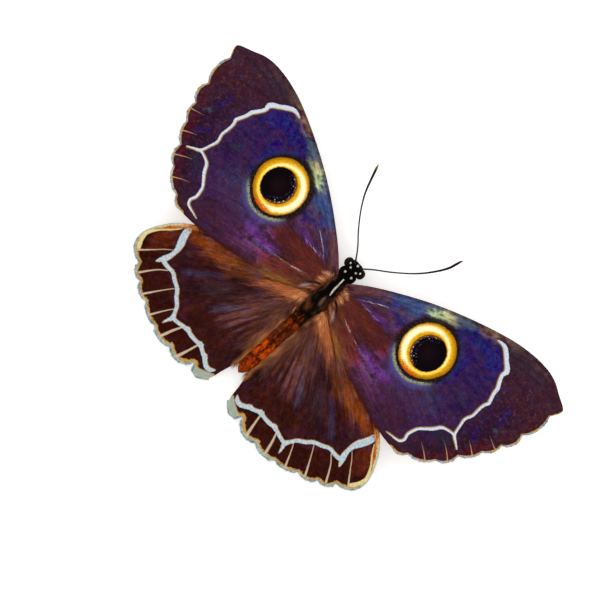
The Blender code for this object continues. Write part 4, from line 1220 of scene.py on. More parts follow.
# numbers of the pale lines and of the ticks, where the rim and the fringe start, the ticks' tone,
# how ragged and how uneven the edge is, and the pale line's rim and waver
UPPER_LOOKS = {
    "fore": ((0, 1), (2,), (0.48, 0.14), srgb(204, 164, 130), 0.5, 0.5, 0.50, 0.45),
    "hind": ((0, 1, 2), (3,), (1.16, 0.70), srgb(204, 184, 156), 1.3, 1.1, 0.34, 0.75),
}
UNDER_EYES = {"fore": (UNDER_FORE_PUPIL, UNDER_FORE_RING), "hind": (UNDER_PUPIL, UNDER_RING)}


def upper_material(kind, settings):
    """The upper side of a wing: ground, veins, edges, ticks, pale lines and the owl's eye."""
    lines, ticks, (rim_at, fringe_at), tick_tone, ragged, uneven, line_rim, waver = UPPER_LOOKS[kind]
    made, b = new_material(f"{kind}wing_upper_scales", 0.62, WING_GLOSS)
    plan, margin, fore, front = b.value("plan", "Vector"), b.value("margin"), kind == "fore", 0.0
    parts = b.parts(plan)
    across, ahead = parts[0], parts[1]
    streak = b.streaks(70.0, 3.5) * 0.55 + b.streaks(260.0, 9.0) * 0.45
    looks = {"Streaks": 1.5, "Flecks": 0.08}
    if fore:
        outer = b.span(across, 14.0, 27.0)
        flecks = outer * 0.15 + b.span(across, 46.0, 54.0) * 0.17
        looks = {"Streaks": 1.0, "Hue": outer * 0.20, "Flecks": flecks}
    colour = b.use(mottle, Color=b.value("ground", "Color"), Vector=b.at(), Streak=streak, **looks)[0]
    colour = b.mix(b.span(b.value("vein"), 0.46, 0.05) * 0.34, colour, srgb(36, 15, 22))
    if fore:
        colour = b.mix(b.span(b.value("costa"), 0.45, 0.10) * 0.6, colour, srgb(50, 36, 32))
        edge = b.span(b.value("rear"), 1.5, 0.4) * 0.75 * b.span(across, 16.0, 27.0)
        colour = b.mix(edge, colour, srgb(58, 20, 24))
        hairs = b.use(pale_band, Gap=band_gap(b, (3,)), Plan=plan, Waver=0.5)["Line"]
        colour = b.mix(hairs * 0.9, colour, srgb(236, 204, 190))
        margin = margin + b.span(ahead, 20.0, 23.0) * 0.25
    else:
        front = b.span(ahead, -30.5, -27.5) * b.span(across, 36.0, 40.0)
        margin = margin + b.math("MAXIMUM", front * 0.50, b.span(across, 21.0, 28.0) * 0.34)
    rough = b.noise(plan, 2.3, 4.0, 0.75) - 0.5
    margin = margin + rough * ragged
    dark = b.span(margin, rim_at + 0.9, rim_at) * b.math("SUBTRACT", 0.6, b.math("MULTIPLY", front, 0.6))
    colour = b.mix(dark, colour, srgb(50, 15, 12))
    broken = b.clouds(plan, 3.1, 3.0, 0.7, 0.40, 0.56)
    rim = b.mix(0.5, settings.rim_colour[:], srgb(236, 190, 84))
    rim = b.mix(broken, srgb(150, 96, 36), rim)
    if not fore:
        rim = b.mix(front, rim, srgb(206, 196, 146))
    worn = b.clouds(plan, 2.7, 4.0, 0.8, 0.36, 0.66)
    fringe = b.mix(0.3, settings.fringe_colour[:], srgb(222, 226, 206))
    fringe = b.mix(worn, srgb(132, 152, 146), fringe)
    edge = margin + (b.noise(plan, 1.2, 2.0, 0.6) - 0.5) * uneven
    colour = b.mix(b.span(edge, rim_at + 0.14, rim_at - 0.10) * 0.92, colour, rim)
    if not fore:
        lobe = b.value("lobe") + rough * 1.1
        colour = b.mix(b.span(lobe, 0.30, 0.06) * 0.8, colour, rim)
        grey = b.mix(worn, srgb(140, 148, 128), srgb(178, 184, 166))
        colour = b.mix(b.span(lobe, 0.10, -0.12), colour, grey)
        edge = b.use(pale_band, Gap=band_gap(b, (4,)), Plan=plan, Waver=0.5)["Line"]
        cream = b.mix(broken, srgb(214, 188, 118), srgb(236, 220, 158))
        colour = b.mix(edge * 0.9, colour, cream)
    gap = band_gap(b, ticks)
    tick = b.use(pale_band, Gap=gap, Inner_Gap=gap, Plan=plan, Waver=0.32)
    colour = b.mix(tick["Rim"] * 0.45, colour, srgb(128, 74, 42))
    colour = b.mix(tick["Line"] * 0.85, colour, tick_tone)
    if not fore:
        margin = margin + b.span(across, 16.0, 10.5) * 0.4
    colour = b.mix(b.span(margin, fringe_at + 0.15, fringe_at - 0.15), colour, fringe)
    gap, inner = band_gap(b, lines), band_gap(b, lines, inner=True)
    line = b.use(pale_band, Gap=gap, Inner_Gap=inner, Plan=plan, Rim=line_rim, Waver=waver)
    colour = b.mix(line["Rim"] * 0.85, colour, srgb(206, 164, 100))
    if fore:
        mask = b.clouds(plan, 1.9, 4.0, 0.8, 0.35, 0.65)
        white = b.mix(mask, settings.band_shade[:], settings.band_colour[:])
        colour = b.mix(line["Line"] * 0.96, colour, white)
        tones = {"Bright": settings.ring_bright[:], "Gold": settings.ring_gold[:]}
        return finish_wing(made, b, owl_eye(b, colour, plan, PUPIL, RING, **tones))
    mask = b.clouds(plan, 1.7, 4.0, 0.8, 0.36, 0.64)
    white = b.mix(mask, srgb(160, 178, 184), srgb(204, 216, 226))
    shown = 0.96 - b.span(ahead, -17.9, -16.7) * 0.6
    return finish_wing(made, b, b.mix(line["Line"] * shown, colour, white))


def under_material(kind):
    """The under side of a wing: brown with dark ripples, pale lines and an owl's eye."""
    made, b = new_material(f"{kind}wing_under_scales", 0.66, WING_GLOSS)
    plan = b.value("plan", "Vector")
    ground = {"Color": b.value("under", "Color"), "Streak": b.streaks(50.0, 30.0)}
    colour = b.use(mottle, Vector=b.at(), Amount=0.7, **ground)[0]
    ripple = b.noise(b.vector("MULTIPLY", plan, (1.0, 1.4, 1.0)), 1.3, 5.0, 0.7)
    crest = b.span(ripple, 0.47, 0.5) * b.span(ripple, 0.56, 0.52)
    colour = b.mix(crest * 0.7, colour, srgb(62, 40, 28))
    colour = b.mix(b.span(b.value("vein"), 0.5, 0.1), colour, srgb(84, 58, 40))
    line = b.use(pale_band, Gap=band_gap(b, UPPER_LOOKS[kind][0]), Plan=plan, Rim=0.5)
    colour = b.mix(line["Line"] * 0.7, colour, srgb(206, 188, 156))
    colour = b.mix(b.span(b.value("margin"), 0.9, 0.4) * 0.8, colour, srgb(196, 178, 146))
    tones = {"Bright": srgb(226, 196, 132), "Gold": srgb(196, 148, 62), "Dots": 0.6}
    return finish_wing(made, b, owl_eye(b, colour, plan, *UNDER_EYES[kind], **tones))


# --- fringes and hair of the wings ---
def hair_material(name, roughness, tip, root_tone, end_tone=1.15, worn=0.35):
    """Hair or long scales: the skin's colour, in a tone that runs from root to tip."""
    made, b = new_material(name, roughness, SKIN_GLOSS)
    along, pick = b.value("along"), b.value("pick")
    tone = (along * (end_tone - root_tone) + root_tone) * (pick * 0.76 + 0.62)
    hue = b.noise(b.at(), 900.0) * 0.02 + 0.49
    colour = b.varied(hue, 1.0, tone, b.value("ground", "Color"))
    share = b.span(along, 0.55, 1.0) * b.span(pick, 0.55, 1.0)
    return b.shade(made, Base_Color=b.mix(share * worn, colour, tip))


def lie_along(kind, plan, ways, side):
    """Plan directions lifted into a wing's surface, in the frame of the solids."""
    step = 0.05
    rise = (wing_height(kind, plan + ways * step) - wing_height(kind, plan)) / step
    return unit(np.column_stack((ways, rise))) * (side, -1, 1)


def fringe_bed(kind, side_name, side, shape, pale, spacing=0.075):
    """Loose points along the outer edge of a wing, with what the fringe's tufts read."""
    plan, outer, *_ = shape
    line = resample(outer, round(float(way_gone(outer)[-1]) / spacing))
    along = unit(np.gradient(line, axis=0))
    outward = np.column_stack((-along[:, 1], along[:, 0]))
    outward *= np.sign(np.sum(outward * (line - plan.mean(0)), axis=1).mean())
    ragged = 1 + 0.55 * pair_noise(line, 1.1, 1.1) + 0.35 * pair_noise(line, 3.3, 3.3)
    length = fringe_share(kind, line) * ragged
    grown = length > 0.12
    points, ways = [], []
    for layer, (sunk, below) in enumerate(((0.40, 0.02), (0.22, 0.12), (0.30, 0.22))):
        shifted = line - outward * sunk + along * spacing * layer / 3
        height = wing_height(kind, shifted) - PLEAT * 0.6 - below
        points.append(np.column_stack((shifted, height))[grown])
        ways.append(lie_along(kind, shifted, outward, side)[grown])
    points = np.concatenate(points)
    share = np.linspace(0, 1, len(line))[grown] * 0.98 + 0.01
    flow = (np.tile(share, 3), np.repeat((0.3, 0.5, 0.7), len(share)), np.zeros(len(points)))
    dull, bright = srgb(120, 140, 134), np.array(pale) * 1.1
    if kind == "fore":
        dull, bright = srgb(104, 122, 140), srgb(206, 212, 216)
    worn = (0.5 + 1.2 * pair_noise(line[grown], 0.9, 0.9)).clip(0, 1)
    obj = mesh_from(f"fringe_bed_{kind}_{side_name}", place(points, side), [])
    set_values(
        obj, lie=np.concatenate(ways), upward=np.tile((0.0, 0.0, 1.0), (len(points), 1)),
        coat_length=np.tile(length[grown], 3), SkinUV=np.column_stack(flow),
        ground=np.tile(laid_over(np.array(dull), bright, worn), (3, 1)),
    )
    return obj


WING_HAIR = {                  # where long hair grows: (strength, softness, stroke)
    "fore": [
        (0.8, 1, [(3, -2.2, 1.6), (8, -5.6, 1.8), (14, -8.8, 1.4)]),
        (1, 1.2, [(2.4, 3.5, 2), (2.9, 1.6, 2.6), (3.1, -0.6, 1.8)]),
        (0.5, 1.6, [(4.6, 4.2, 2), (6.5, 1.5, 3.5), (6.4, -2, 2)]),
        (0.16, 3, [(9, 7, 3), (14, 2, 7), (13, -3, 5)]),
    ],
    "hind": [
        (1, 1, [(2.2, -3.6, 1.2), (4, -5.6, 2.4), (6, -7.2, 2.4)]),
        (0.75, 1.6, [(5, -6, 2.4), (9, -8.8, 3), (13, -10.4, 2.6)]),
        (0.42, 2.4, [(7, -12, 6), (13, -12.5, 5), (18, -13, 4)]),
        (0.95, 0.5, [(2, -8, 1), (2.5, -16, 1.1), (2.6, -24, 1.2), (3.1, -31, 1.1)]),
        (0.45, 1, [(3.4, -9, 1.6), (4.4, -18, 2), (4.6, -27, 1.6)]),
        (0.12, 3, [(9, -20, 8), (18, -19, 7), (26, -17, 4)]),
    ],
}
HAIR_PATCHES = {
    "fore": [
        ((204, 130, 86), 0.8, 0.5, [(2.6, 3.1, 0.8), (3, 1.8, 1.1), (3.1, 0.4, 1), (2.9, -0.8, 0.5)]),
        ((196, 134, 92), 0.85, 0.6, [(2.8, -2.4, 0.6), (4.4, -3.8, 1), (6.4, -5, 0.7)]),
        ((255, 206, 156), 0.8, 0.3, [(2.4, 3.3, 0.3), (3.3, 2.9, 0.5), (4, 2.4, 0.2)]),
        ((70, 40, 44), 0.7, 0.25, [(3.2, 2.2, 0.2), (4.2, 1.8, 0.3)]),
        ((255, 190, 126), 0.7, 0.35, [(2.6, 1.4, 0.4), (3.5, 1.2, 0.6), (4.1, 0.9, 0.2)]),
        ((14, 8, 22), 1, 0.25, [(2.5, -0.1, 0.4), (3.4, -0.6, 0.6), (4.2, -1.2, 0.35)]),
        ((214, 192, 198), 0.9, 0.25, [(4, -2, 0.3), (4.7, -2.6, 0.55), (5.3, -3.2, 0.3)]),
        ((172, 112, 50), 0.8, 0.6, [(7, -4.8, 0.6), (10.5, -7, 1.1), (14.5, -9.2, 0.8)]),
        ((230, 178, 96), 0.75, 0.3, [(10.8, -7.8, 0.3), (13.4, -9.2, 0.4)]),
    ],
    "hind": [
        ((240, 176, 122), 0.85, 0.5, [(2.2, -4, 0.6), (3.8, -5.4, 1.1), (5.8, -7, 0.6)]),
        ((214, 132, 78), 0.7, 0.5, [(4.4, -5.8, 0.7), (7.4, -7.8, 0.9), (9.6, -9.2, 0.4)]),
        # painted light: the next two strokes paint the hair along the inner edge brighter than its own tan,
        # to lift the shade of the gutter beside the abdomen
        ((244, 168, 106), 0.9, 0.5, [(1.8, -9, 0.7), (2.5, -15, 0.8), (2.6, -19, 0.6)]),
        ((244, 166, 88), 0.9, 0.5, [(2.5, -19, 0.7), (2.6, -26, 0.6), (2.9, -30.5, 0.4)]),
        ((168, 104, 64), 0.7, 0.6, [(3.6, -12, 0.5), (3.9, -18, 1), (4, -26, 0.6)]),
    ],
}


def hair_bed(kind, side_name, side, shape):
    """The part of a wing's upper face that grows hair, as a sheet of its own."""
    plan, _, upper, _, values = shape
    moved = wobble(plan, 0.5, 0.8)
    thick = np.zeros(len(plan))
    for strength, softness, stroke in WING_HAIR[kind]:
        gap = line_gap(moved, smooth_line(stroke, 0.6))
        thick = np.maximum(thick, strength * (1 - smooth_step(gap, 0, softness)))
    edge = values["margin"]
    if kind == "fore":
        rear = values["rear"] + smooth_step(plan[:, 0], 18.0, 15.0)
        edge = np.minimum(np.minimum(rear, edge), values["costa"] * 0.7)
    thick *= smooth_step(edge, 0.2, 1.0)
    _, faces = grid_faces(WING_ROWS + 1, WING_COLUMNS + 1)
    faces = faces[thick[faces].max(axis=1) > 0.01]
    used, index = np.unique(faces, return_inverse=True)
    faces = index.reshape(-1, 4)[:, ::side]
    plan, flow = plan[used], grid_flow(used)
    points = place(np.column_stack((plan, upper[used] - 0.03)), side)
    obj = mesh_from(f"hair_bed_{kind}_{side_name}", points, faces.tolist(), flow[faces.ravel()])
    away = plan - np.array(HAIR_ROOT[kind])
    reach = np.linalg.norm(away, axis=1)
    away = unit(away)
    if kind == "hind":         # along the inner edge the hair turns backwards and over the abdomen
        away = unit(laid_over(away, (-0.28, -1.0), smooth_step(plan[:, 0], 6.0, 2.2)))
    colour = paint(plan, values["ground"][used], HAIR_PATCHES[kind])
    set_values(
        obj, lie=lie_along(kind, plan, away, side), coat_density=thick[used],
        coat_length=0.55 + 0.7 * smooth_step(reach, 2.0, 8.0), ground=combed(kind, plan, colour, 0.35),
    )
    return obj


# --- body ---
def abdomen_share(ahead):
    """How many of the abdomen's segments lie in front of a place."""
    return (ABDOMEN_START - ahead) / (ABDOMEN_START - ABDOMEN_END) * SEGMENTS


def body_rings(sides=96, step=0.12):
    """Rings of the body's skin from the face to the abdomen's tip, in millimetres."""
    turn = round_turn(sides)
    rings = []
    for ahead, middle, half_across, half_up in smooth_line(BODY, step):
        share = abdomen_share(ahead)
        groove = 0.0
        if share > 0.4:
            groove = 0.055 * math.exp(-(((share - round(share)) / 0.10) ** 2))
            groove -= 0.02 * math.sin(math.pi * (share % 1.0))
        brow = 0.10 * math.exp(-(((ahead - 9.6) / 0.9) ** 2))
        furrow = 1 - brow * np.exp(-((np.cos(turn) / 0.22) ** 2)) * (np.sin(turn) > 0)
        across = half_across * (1 - groove) * np.cos(turn)
        height = middle + half_up * (1 - groove) * np.sin(turn) * furrow
        rings.append(np.column_stack((across, np.full(sides, ahead), height)))
    return np.array(rings)


BODY_PATCHES = [               # colour, strength, softness, stroke, seen from above
    ((50, 34, 26), 0.75, 0.5, [(-0.2, 3, 0.2), (-0.5, 0, 0.5), (-0.6, -3, 0.7)]),
    ((166, 120, 98), 0.9, 0.5, [(-0.6, -0.8, 0.3), (-0.9, -2.4, 0.8), (-0.95, -3.8, 0.3)]),
    ((150, 98, 56), 0.8, 0.25, [(1.75, 4.8, 0.2), (1.85, 2.6, 0.3), (1.65, 0.6, 0.2)]),
    ((88, 58, 36), 0.5, 0.25, [(-1.75, 3.8, 0.2), (-1.85, 1.4, 0.3), (-1.6, -1.6, 0.2)]),
    ((168, 98, 52), 0.8, 0.35, [(2.6, -3.4, 0.3), (1.9, -4.9, 0.4), (1.1, -6.6, 0.3)]),
    ((128, 72, 38), 0.7, 0.5, [(2.4, 2.6, 0.3), (2.6, -1, 0.5), (2.4, -4, 0.3)]),
    ((110, 62, 36), 0.5, 0.4, [(-2.3, 1.6, 0.2), (-2.4, -1.6, 0.3), (-2.1, -4.4, 0.3)]),
    ((34, 30, 22), 0.6, 0.5, [(-0.7, -4.4, 0.4), (-0.8, -6.4, 0.8)]),
    ((112, 62, 30), 0.8, 0.6, [(0.9, -5.2, 0.6), (0.8, -6.8, 0.8)]),
]
ABDOMEN_PATCHES = [
    ((138, 42, 6), 1, 1.4, [(0, -13.6, 3), (0, -20, 3.2), (0, -33, 3)]),
    ((20, 9, 4), 0.97, 0.6, [(0, -8, 3.4), (0, -11.4, 2.2)]),
    ((200, 58, 8), 0.8, 0.7, [(1.4, -12.2, 0.3), (1, -13.8, 0.8)]),
    ((200, 58, 8), 0.8, 0.7, [(-1.4, -12.2, 0.3), (-1, -13.8, 0.8)]),
    ((118, 66, 38), 0.8, 0.6, [(2, -13.5, 0.6), (2, -16, 0.9), (1.8, -19, 0.5)]),
    ((118, 66, 38), 0.8, 0.6, [(-2, -13.5, 0.6), (-2, -16, 0.9), (-1.8, -19, 0.5)]),
    ((255, 96, 4), 0.97, 0.7, [(1.4, -20.8, 0.7), (1.1, -23, 1.4), (1.3, -25.4, 1.2)]),
    ((255, 96, 4), 0.97, 0.7, [(-1.4, -20.8, 0.7), (-1.1, -23, 1.4), (-1.3, -25.4, 1.2)]),
    ((200, 66, 4), 0.9, 0.8, [(0, -27.8, 2.2), (0, -31.6, 1.8)]),
    ((48, 18, 8), 0.9, 0.6, [(0.1, -14.2, 1.2), (0, -17.8, 0.9), (0.1, -21.6, 0.5), (-0.4, -24.6, 0.2)]),
    ((100, 34, 6), 0.7, 0.4, [(1.8, -26.7, 0.3), (0, -27, 0.5), (-1.8, -26.5, 0.4)]),
    ((110, 40, 10), 0.7, 0.3, [(0.9, -28.2, 0.2), (0.2, -30.4, 0.3), (-0.3, -32.2, 0.2)]),
]


def body_colours(points):
    """Colours of the body's coat at points (across, ahead, height)."""
    across, ahead, height = points.T
    upper = smooth_step(height, 6.6, 8.2)
    under = smooth_step(height, 6.6, 5.0) * smooth_step(ahead, 8.5, 6.0)
    fleck = noise_at(points * (2.1, 1.1, 2.1)) + 0.6 * noise_at(points * (5.0, 3.0, 5.0))
    sides = smooth_step(np.abs(across), 0.6, 2.2) * smooth_step(ahead, 6.0, 4.0) * upper
    colour = paint(points[:, :2], (13, 9, 11), BODY_PATCHES, upper)
    colour = laid_over(colour, srgb(74, 52, 42), under)
    colour = laid_over(colour, srgb(136, 90, 54), 0.8 * sides * smooth_step(fleck, 0.12, 0.42))
    colour *= (1 - 0.5 * smooth_step(fleck, -0.1, -0.5))[:, None]
    share = abdomen_share(ahead)
    seam = np.exp(-(((share - np.round(share)) / 0.10) ** 2)) * (share > 1.5)
    top = paint(points[:, :2], (34, 20, 14), ABDOMEN_PATCHES)
    top = laid_over(top, srgb(76, 26, 10), 0.75 * seam)
    top = laid_over(top, srgb(52, 18, 6), 0.85 * smooth_step(fleck, -0.06, -0.42))
    top = laid_over(top, srgb(250, 112, 16), 0.5 * smooth_step(fleck, 0.25, 0.6))
    top = laid_over(top, srgb(168, 118, 72), smooth_step(height, 6.0, 4.6))
    return laid_over(colour, top, smooth_step(ahead, -7.2, -10.5))


def top_height(plan):
    """Height of the upper side of the head and body, eyes included, over plan points."""
    stations, *columns = smooth_line(BODY, 0.12)[::-1].T
    middle, across, up = (np.interp(plan[:, 1], stations, column) for column in columns)
    height = middle + up * np.sqrt(np.clip(1 - (plan[:, 0] / across) ** 2, 0, 1))
    way = (np.column_stack((np.abs(plan[:, 0]), plan[:, 1])) - EYE_MIDDLE[:2]) / EYE_HALF[:2]
    reach = (way**2).sum(1)
    eye = EYE_MIDDLE[2] + EYE_HALF[2] * np.sqrt(np.clip(1 - reach, 0, 1))
    return np.where(reach < 1, np.maximum(height, eye), height)


def spots_bed():
    """Sheets for the pale dots on the head and the stripe on the back, just above the skin."""
    turn = round_turn(12)
    circle = np.column_stack((np.cos(turn), np.sin(turn)))
    plan, faces, rise = [], [], []
    for x, y, size in HEAD_DOTS:
        for side in (1, -1) if x else (1,):
            middle, first = np.array((x * side - SPOT_SHIFT, y)), len(plan)
            plan += [middle, *(middle + size * circle)]
            faces += [(first, first + 1 + i, first + 1 + (i + 1) % 12) for i in range(12)]
            lift = 0.0 if abs(middle[0]) > 1.5 else 0.10
            rise += [lift + 0.06] + [lift] * 12
    dotted = len(plan)
    for x, y, width in smooth_line(BACK_STRIPE, 0.3):
        last = len(plan)
        if last > dotted:
            faces.append((last - 2, last, last + 1, last - 1))
        plan += [(-x - width / 2, y), (-x + width / 2, y)]
        rise += [0.30, 0.30]
    plan = np.array(plan)
    flow = np.column_stack((0.25 - plan[:, 0] / 14, (12 - plan[:, 1]) / 45))
    corners = np.concatenate([flow[list(face)] for face in faces])
    points = place(np.column_stack((plan, top_height(plan) + rise)))
    obj = mesh_from("spots_bed", points, faces, corners)
    striped = (np.arange(len(plan)) >= dotted)[:, None]
    set_values(
        obj, lie=np.where(striped, (0.0, 1.0, 0.05), (0.0, 0.45, 0.75)), coat_density=np.ones(len(plan)),
        coat_length=np.where(striped[:, 0], 1.6, 1.0), ground=np.tile(srgb(255, 248, 230), (len(plan), 1)),
    )
    return obj


def body_coat(points):
    """(density, length) of the coat at points (across, ahead, height), as shares of the fullest."""
    ahead = points[:, 1]
    stops = [-33.0, -31.0, -12.0, -9.0, -6.5, -3.0, 4.5, 5.8, 7.8, 8.6, 9.5, 12.0]
    lengths = [0.62, 0.50, 0.56, 0.95, 1.25, 1.15, 1.05, 0.80, 0.62, 0.42, 0.34, 0.30]
    density = np.interp(ahead, stops, [0.50, 0.50, 0.46, 0.34, 0.28, 0.28, 0.30, 0.42, 0.60, 1, 1, 1])
    thorax = smooth_step(ahead, -8.0, -5.0) * smooth_step(ahead, 7.0, 5.0)
    sideways = smooth_step(np.abs(points[:, 0]) / 2.8, 0.55, 0.95)
    for side in (1, -1):       # no hair grows inside an eye
        away = (points - np.array(EYE_MIDDLE) * (side, 1, 1)) / np.array(EYE_HALF)
        density = density * smooth_step(np.linalg.norm(away, axis=1), 1.04, 1.12)
    return density, np.interp(ahead, stops, lengths) * (1 + 0.35 * thorax * sideways)


def skin_material(name, roughness):
    made, b = new_material(name, roughness, SKIN_GLOSS)
    at = b.at()
    ground = {"Color": b.value("ground", "Color"), "Streak": b.streaks(300.0, 80.0)}
    colour = b.mix(0.35, b.use(mottle, Vector=at, **ground)[0], (0.004, 0.003, 0.003))
    bump = b.bump(0.6, 0.0001, b.noise(at, 4000.0, 3.0, 0.6))
    return b.shade(made, Base_Color=colour, Normal=bump)


# --- eyes, feelers, mouth and legs ---
def facet_tree():
    """A ball of many small raised facets, set at a place and stretched to size."""
    b, given = new_group("facets", {
        "Geometry": "Geometry", "Fineness": 5, "Middle": "Vector", "Half": "Vector", "Relief": 0.02,
        "Material": "Material",
    }, {"Geometry": "Geometry"}, "GeometryNodeTree")
    inputs = {"Radius": 1.0, "Subdivisions": given["Fineness"]}
    ball = b.node("GeometryNodeMeshIcoSphere", inputs)["Mesh"]
    inputs = {"Mesh": b.node("GeometryNodeDualMesh", {"Mesh": ball})[0], "Individual": True}
    inputs["Offset Scale"] = given["Relief"]
    raised = b.node("GeometryNodeExtrudeMesh", inputs, mode="FACES")
    inputs = {"Geometry": raised["Mesh"], "Selection": raised["Top"], "Scale": 0.62}
    shrunk = b.node("GeometryNodeScaleElements", inputs, domain="FACE")[0]
    inputs = {"Geometry": shrunk, "Translation": given["Middle"], "Scale": given["Half"]}
    real = b.node("GeometryNodeRealizeInstances", {"Geometry": b.node("GeometryNodeTransform", inputs)[0]})
    inputs = {"Geometry": real[0], "Material": given["Material"]}
    return b.give(Geometry=b.node("GeometryNodeSetMaterial", inputs)[0])


def eye_material():
    made, b = new_material("compound_eye", 0.30, EYE_GLOSS)
    at = b.at()
    cell = b.node("ShaderNodeTexVoronoi", {"Vector": at, "Scale": 9000.0})["Color"]
    colour = b.mix(b.clouds(at, 700.0, 3.0, 0.6, 0.35, 0.7), srgb(6, 3, 5), srgb(20, 10, 13))
    return b.shade(made, Base_Color=b.mix(b.channels(cell)[0] * 0.4, colour, srgb(6, 4, 6)))


def horn_material(name, dark, pale, roughness=0.42, bands=0.0, wear=0.5):
    """Horny skin with fine grain, paler towards the far end."""
    made, b = new_material(name, roughness, HORN_GLOSS)
    grain = b.noise(b.at(), 3500.0, 4.0, 0.7)
    share = b.math("MINIMUM", grain * wear + b.span(b.value("share"), 0.93, 1.0) * bands, 1.0)
    return b.shade(
        made, Base_Color=b.mix(share, dark, pale), Normal=b.bump(0.5, 0.00004, grain),
        Roughness=(grain - 0.5) * 0.25 + roughness,
    )


def limb_piece(name, path, side, sides, pitch, depth, material, coat=((0, 1), (1, 1)), ground=None):
    """A closed tube along a path, which pinches once every `pitch`.

    `coat` gives the share of the fullest length of hair at shares of the way along.
    """
    line = smooth_line(path, pitch / 6)
    run = way_gone(line[:, :3])
    pinch = (run / pitch) % 1.0
    line[:, 3] *= 1 - depth * np.exp(-((np.minimum(pinch, 1 - pinch) / 0.16) ** 2))
    centre = place(line[:, :3], side)
    obj = loft(name, tube_rings(np.column_stack((centre, line[:, 3] * MM)), sides), material)
    along = unit(np.gradient(centre, axis=0))
    share = np.concatenate([np.repeat(run / run[-1], sides), [0.0, 1.0]])
    length = np.interp(share, *zip(*coat))
    clear = np.array([point.co.z for point in obj.data.vertices]) > SOLE_HEIGHT
    ways = np.concatenate([np.repeat(along, sides, axis=0), along[[0, -1]]])
    density = np.minimum(length, 1.0) * clear
    set_values(obj, share=share, lie=ways, coat_length=length, coat_density=density)
    if ground:
        set_values(obj, ground=np.tile(ground, (len(share), 1)))
    return obj


def add_claws(limb, path, side, material):
    """Joins two small hooks to a limb, past the end of its foot."""
    end, before = np.array(path[-1][:3]), np.array(path[-2][:3])
    ahead = (end - before) / np.linalg.norm(end - before)
    across = np.array((-ahead[1], ahead[0], 0.0))
    pieces = [limb]
    for turn in (1, -1):
        line = smooth_line([
            (*(end + ahead * a + across * turn * c + np.array((0, 0, h))), r) for a, c, h, r in CLAW
        ], 0.04)
        line = np.column_stack((place(line[:, :3], side), line[:, 3] * MM))
        claw = loft(f"{limb.name}_claw", tube_rings(line, 10), material)
        set_values(claw, share=np.full(len(claw.data.vertices), 0.5))
        pieces.append(claw)
    with bpy.context.temp_override(active_object=limb, selected_editable_objects=pieces):
        bpy.ops.object.join()


# --- settings that a user would change ---
def colour_property(name, description, default):
    return FloatVectorProperty(
        name=name, description=description, default=default, subtype="COLOR", size=3, min=0, max=1,
    )


def length_property(name, description, default):
    return FloatProperty(
        name=name, description=description, default=default, min=0, unit="LENGTH", subtype="DISTANCE",
    )


def number_property(name, description, default, **settings):
    return FloatProperty(name=name, description=description, default=default, **settings)


class ButterflyWings(bpy.types.PropertyGroup):
    thickness: length_property("Membrane", "Thickness of the membrane between the veins", 0.00022)
    vein_height: length_property("Vein height", "How far a vein stands above the membrane", 0.0002)
    hair_length: length_property("Hair length", "Length of the long hair near the wings' roots", 0.0021)
    fringe_length: length_property("Fringe length", "Length of the scales along the outer edge", 0.00085)
    band_colour: colour_property("Pale line", "Colour of the pale lines", srgb(226, 232, 240))
    band_shade: colour_property("Pale line's shade", "Darker tone of the pale lines", srgb(184, 200, 212))
    rim_colour: colour_property("Edge line", "Colour of the thin line inside the fringe", srgb(196, 146, 86))
    fringe_colour: colour_property("Fringe", "Colour of the fringe", srgb(176, 192, 186))
    ring_gold: colour_property("Ring", "Gold of the rings round the eyespots", srgb(226, 164, 8))
    ring_bright: colour_property("Ring's middle", "Brightest tone of the rings", srgb(255, 250, 204))


class ButterflyCoat(bpy.types.PropertyGroup):
    hair_length: length_property("Hair length", "Length of the hair on the thorax", 0.00105)
    hair_width: length_property("Hair width", "Width of one tuft of hair at its root", 0.00013)
    tip_colour: colour_property("Hair tips", "Colour of the worn tips of the hair", srgb(92, 68, 54))
    seed: IntProperty(name="Seed", description="Changes where each tuft stands", default=11, min=1)


class ButterflyStage(bpy.types.PropertyGroup):
    floor_colour: colour_property("Floor", "Colour of the floor", (0.97, 0.97, 0.97))
    floor_glow: number_property("Floor glow", "Light that the floor gives off", 0.32, min=0)
    sky: number_property("Sky light", "Brightness of the even light", 1.04, min=0)
    lamp: number_property("Lamp", "Power of the soft lamp", 0.30, min=0, unit="POWER")
    lens: number_property("Lens", "Length of the lens", LENS, min=10, unit="CAMERA")


# --- operators ---
class ButterflyOperator:
    bl_options = {"REGISTER"}

    def execute(self, context):
        self.make(context.scene)
        return {"FINISHED"}


def stand(scene, name, data):
    """An object for a lamp or a camera."""
    obj = bpy.data.objects.new(name, data)
    scene.collection.objects.link(obj)
    return obj


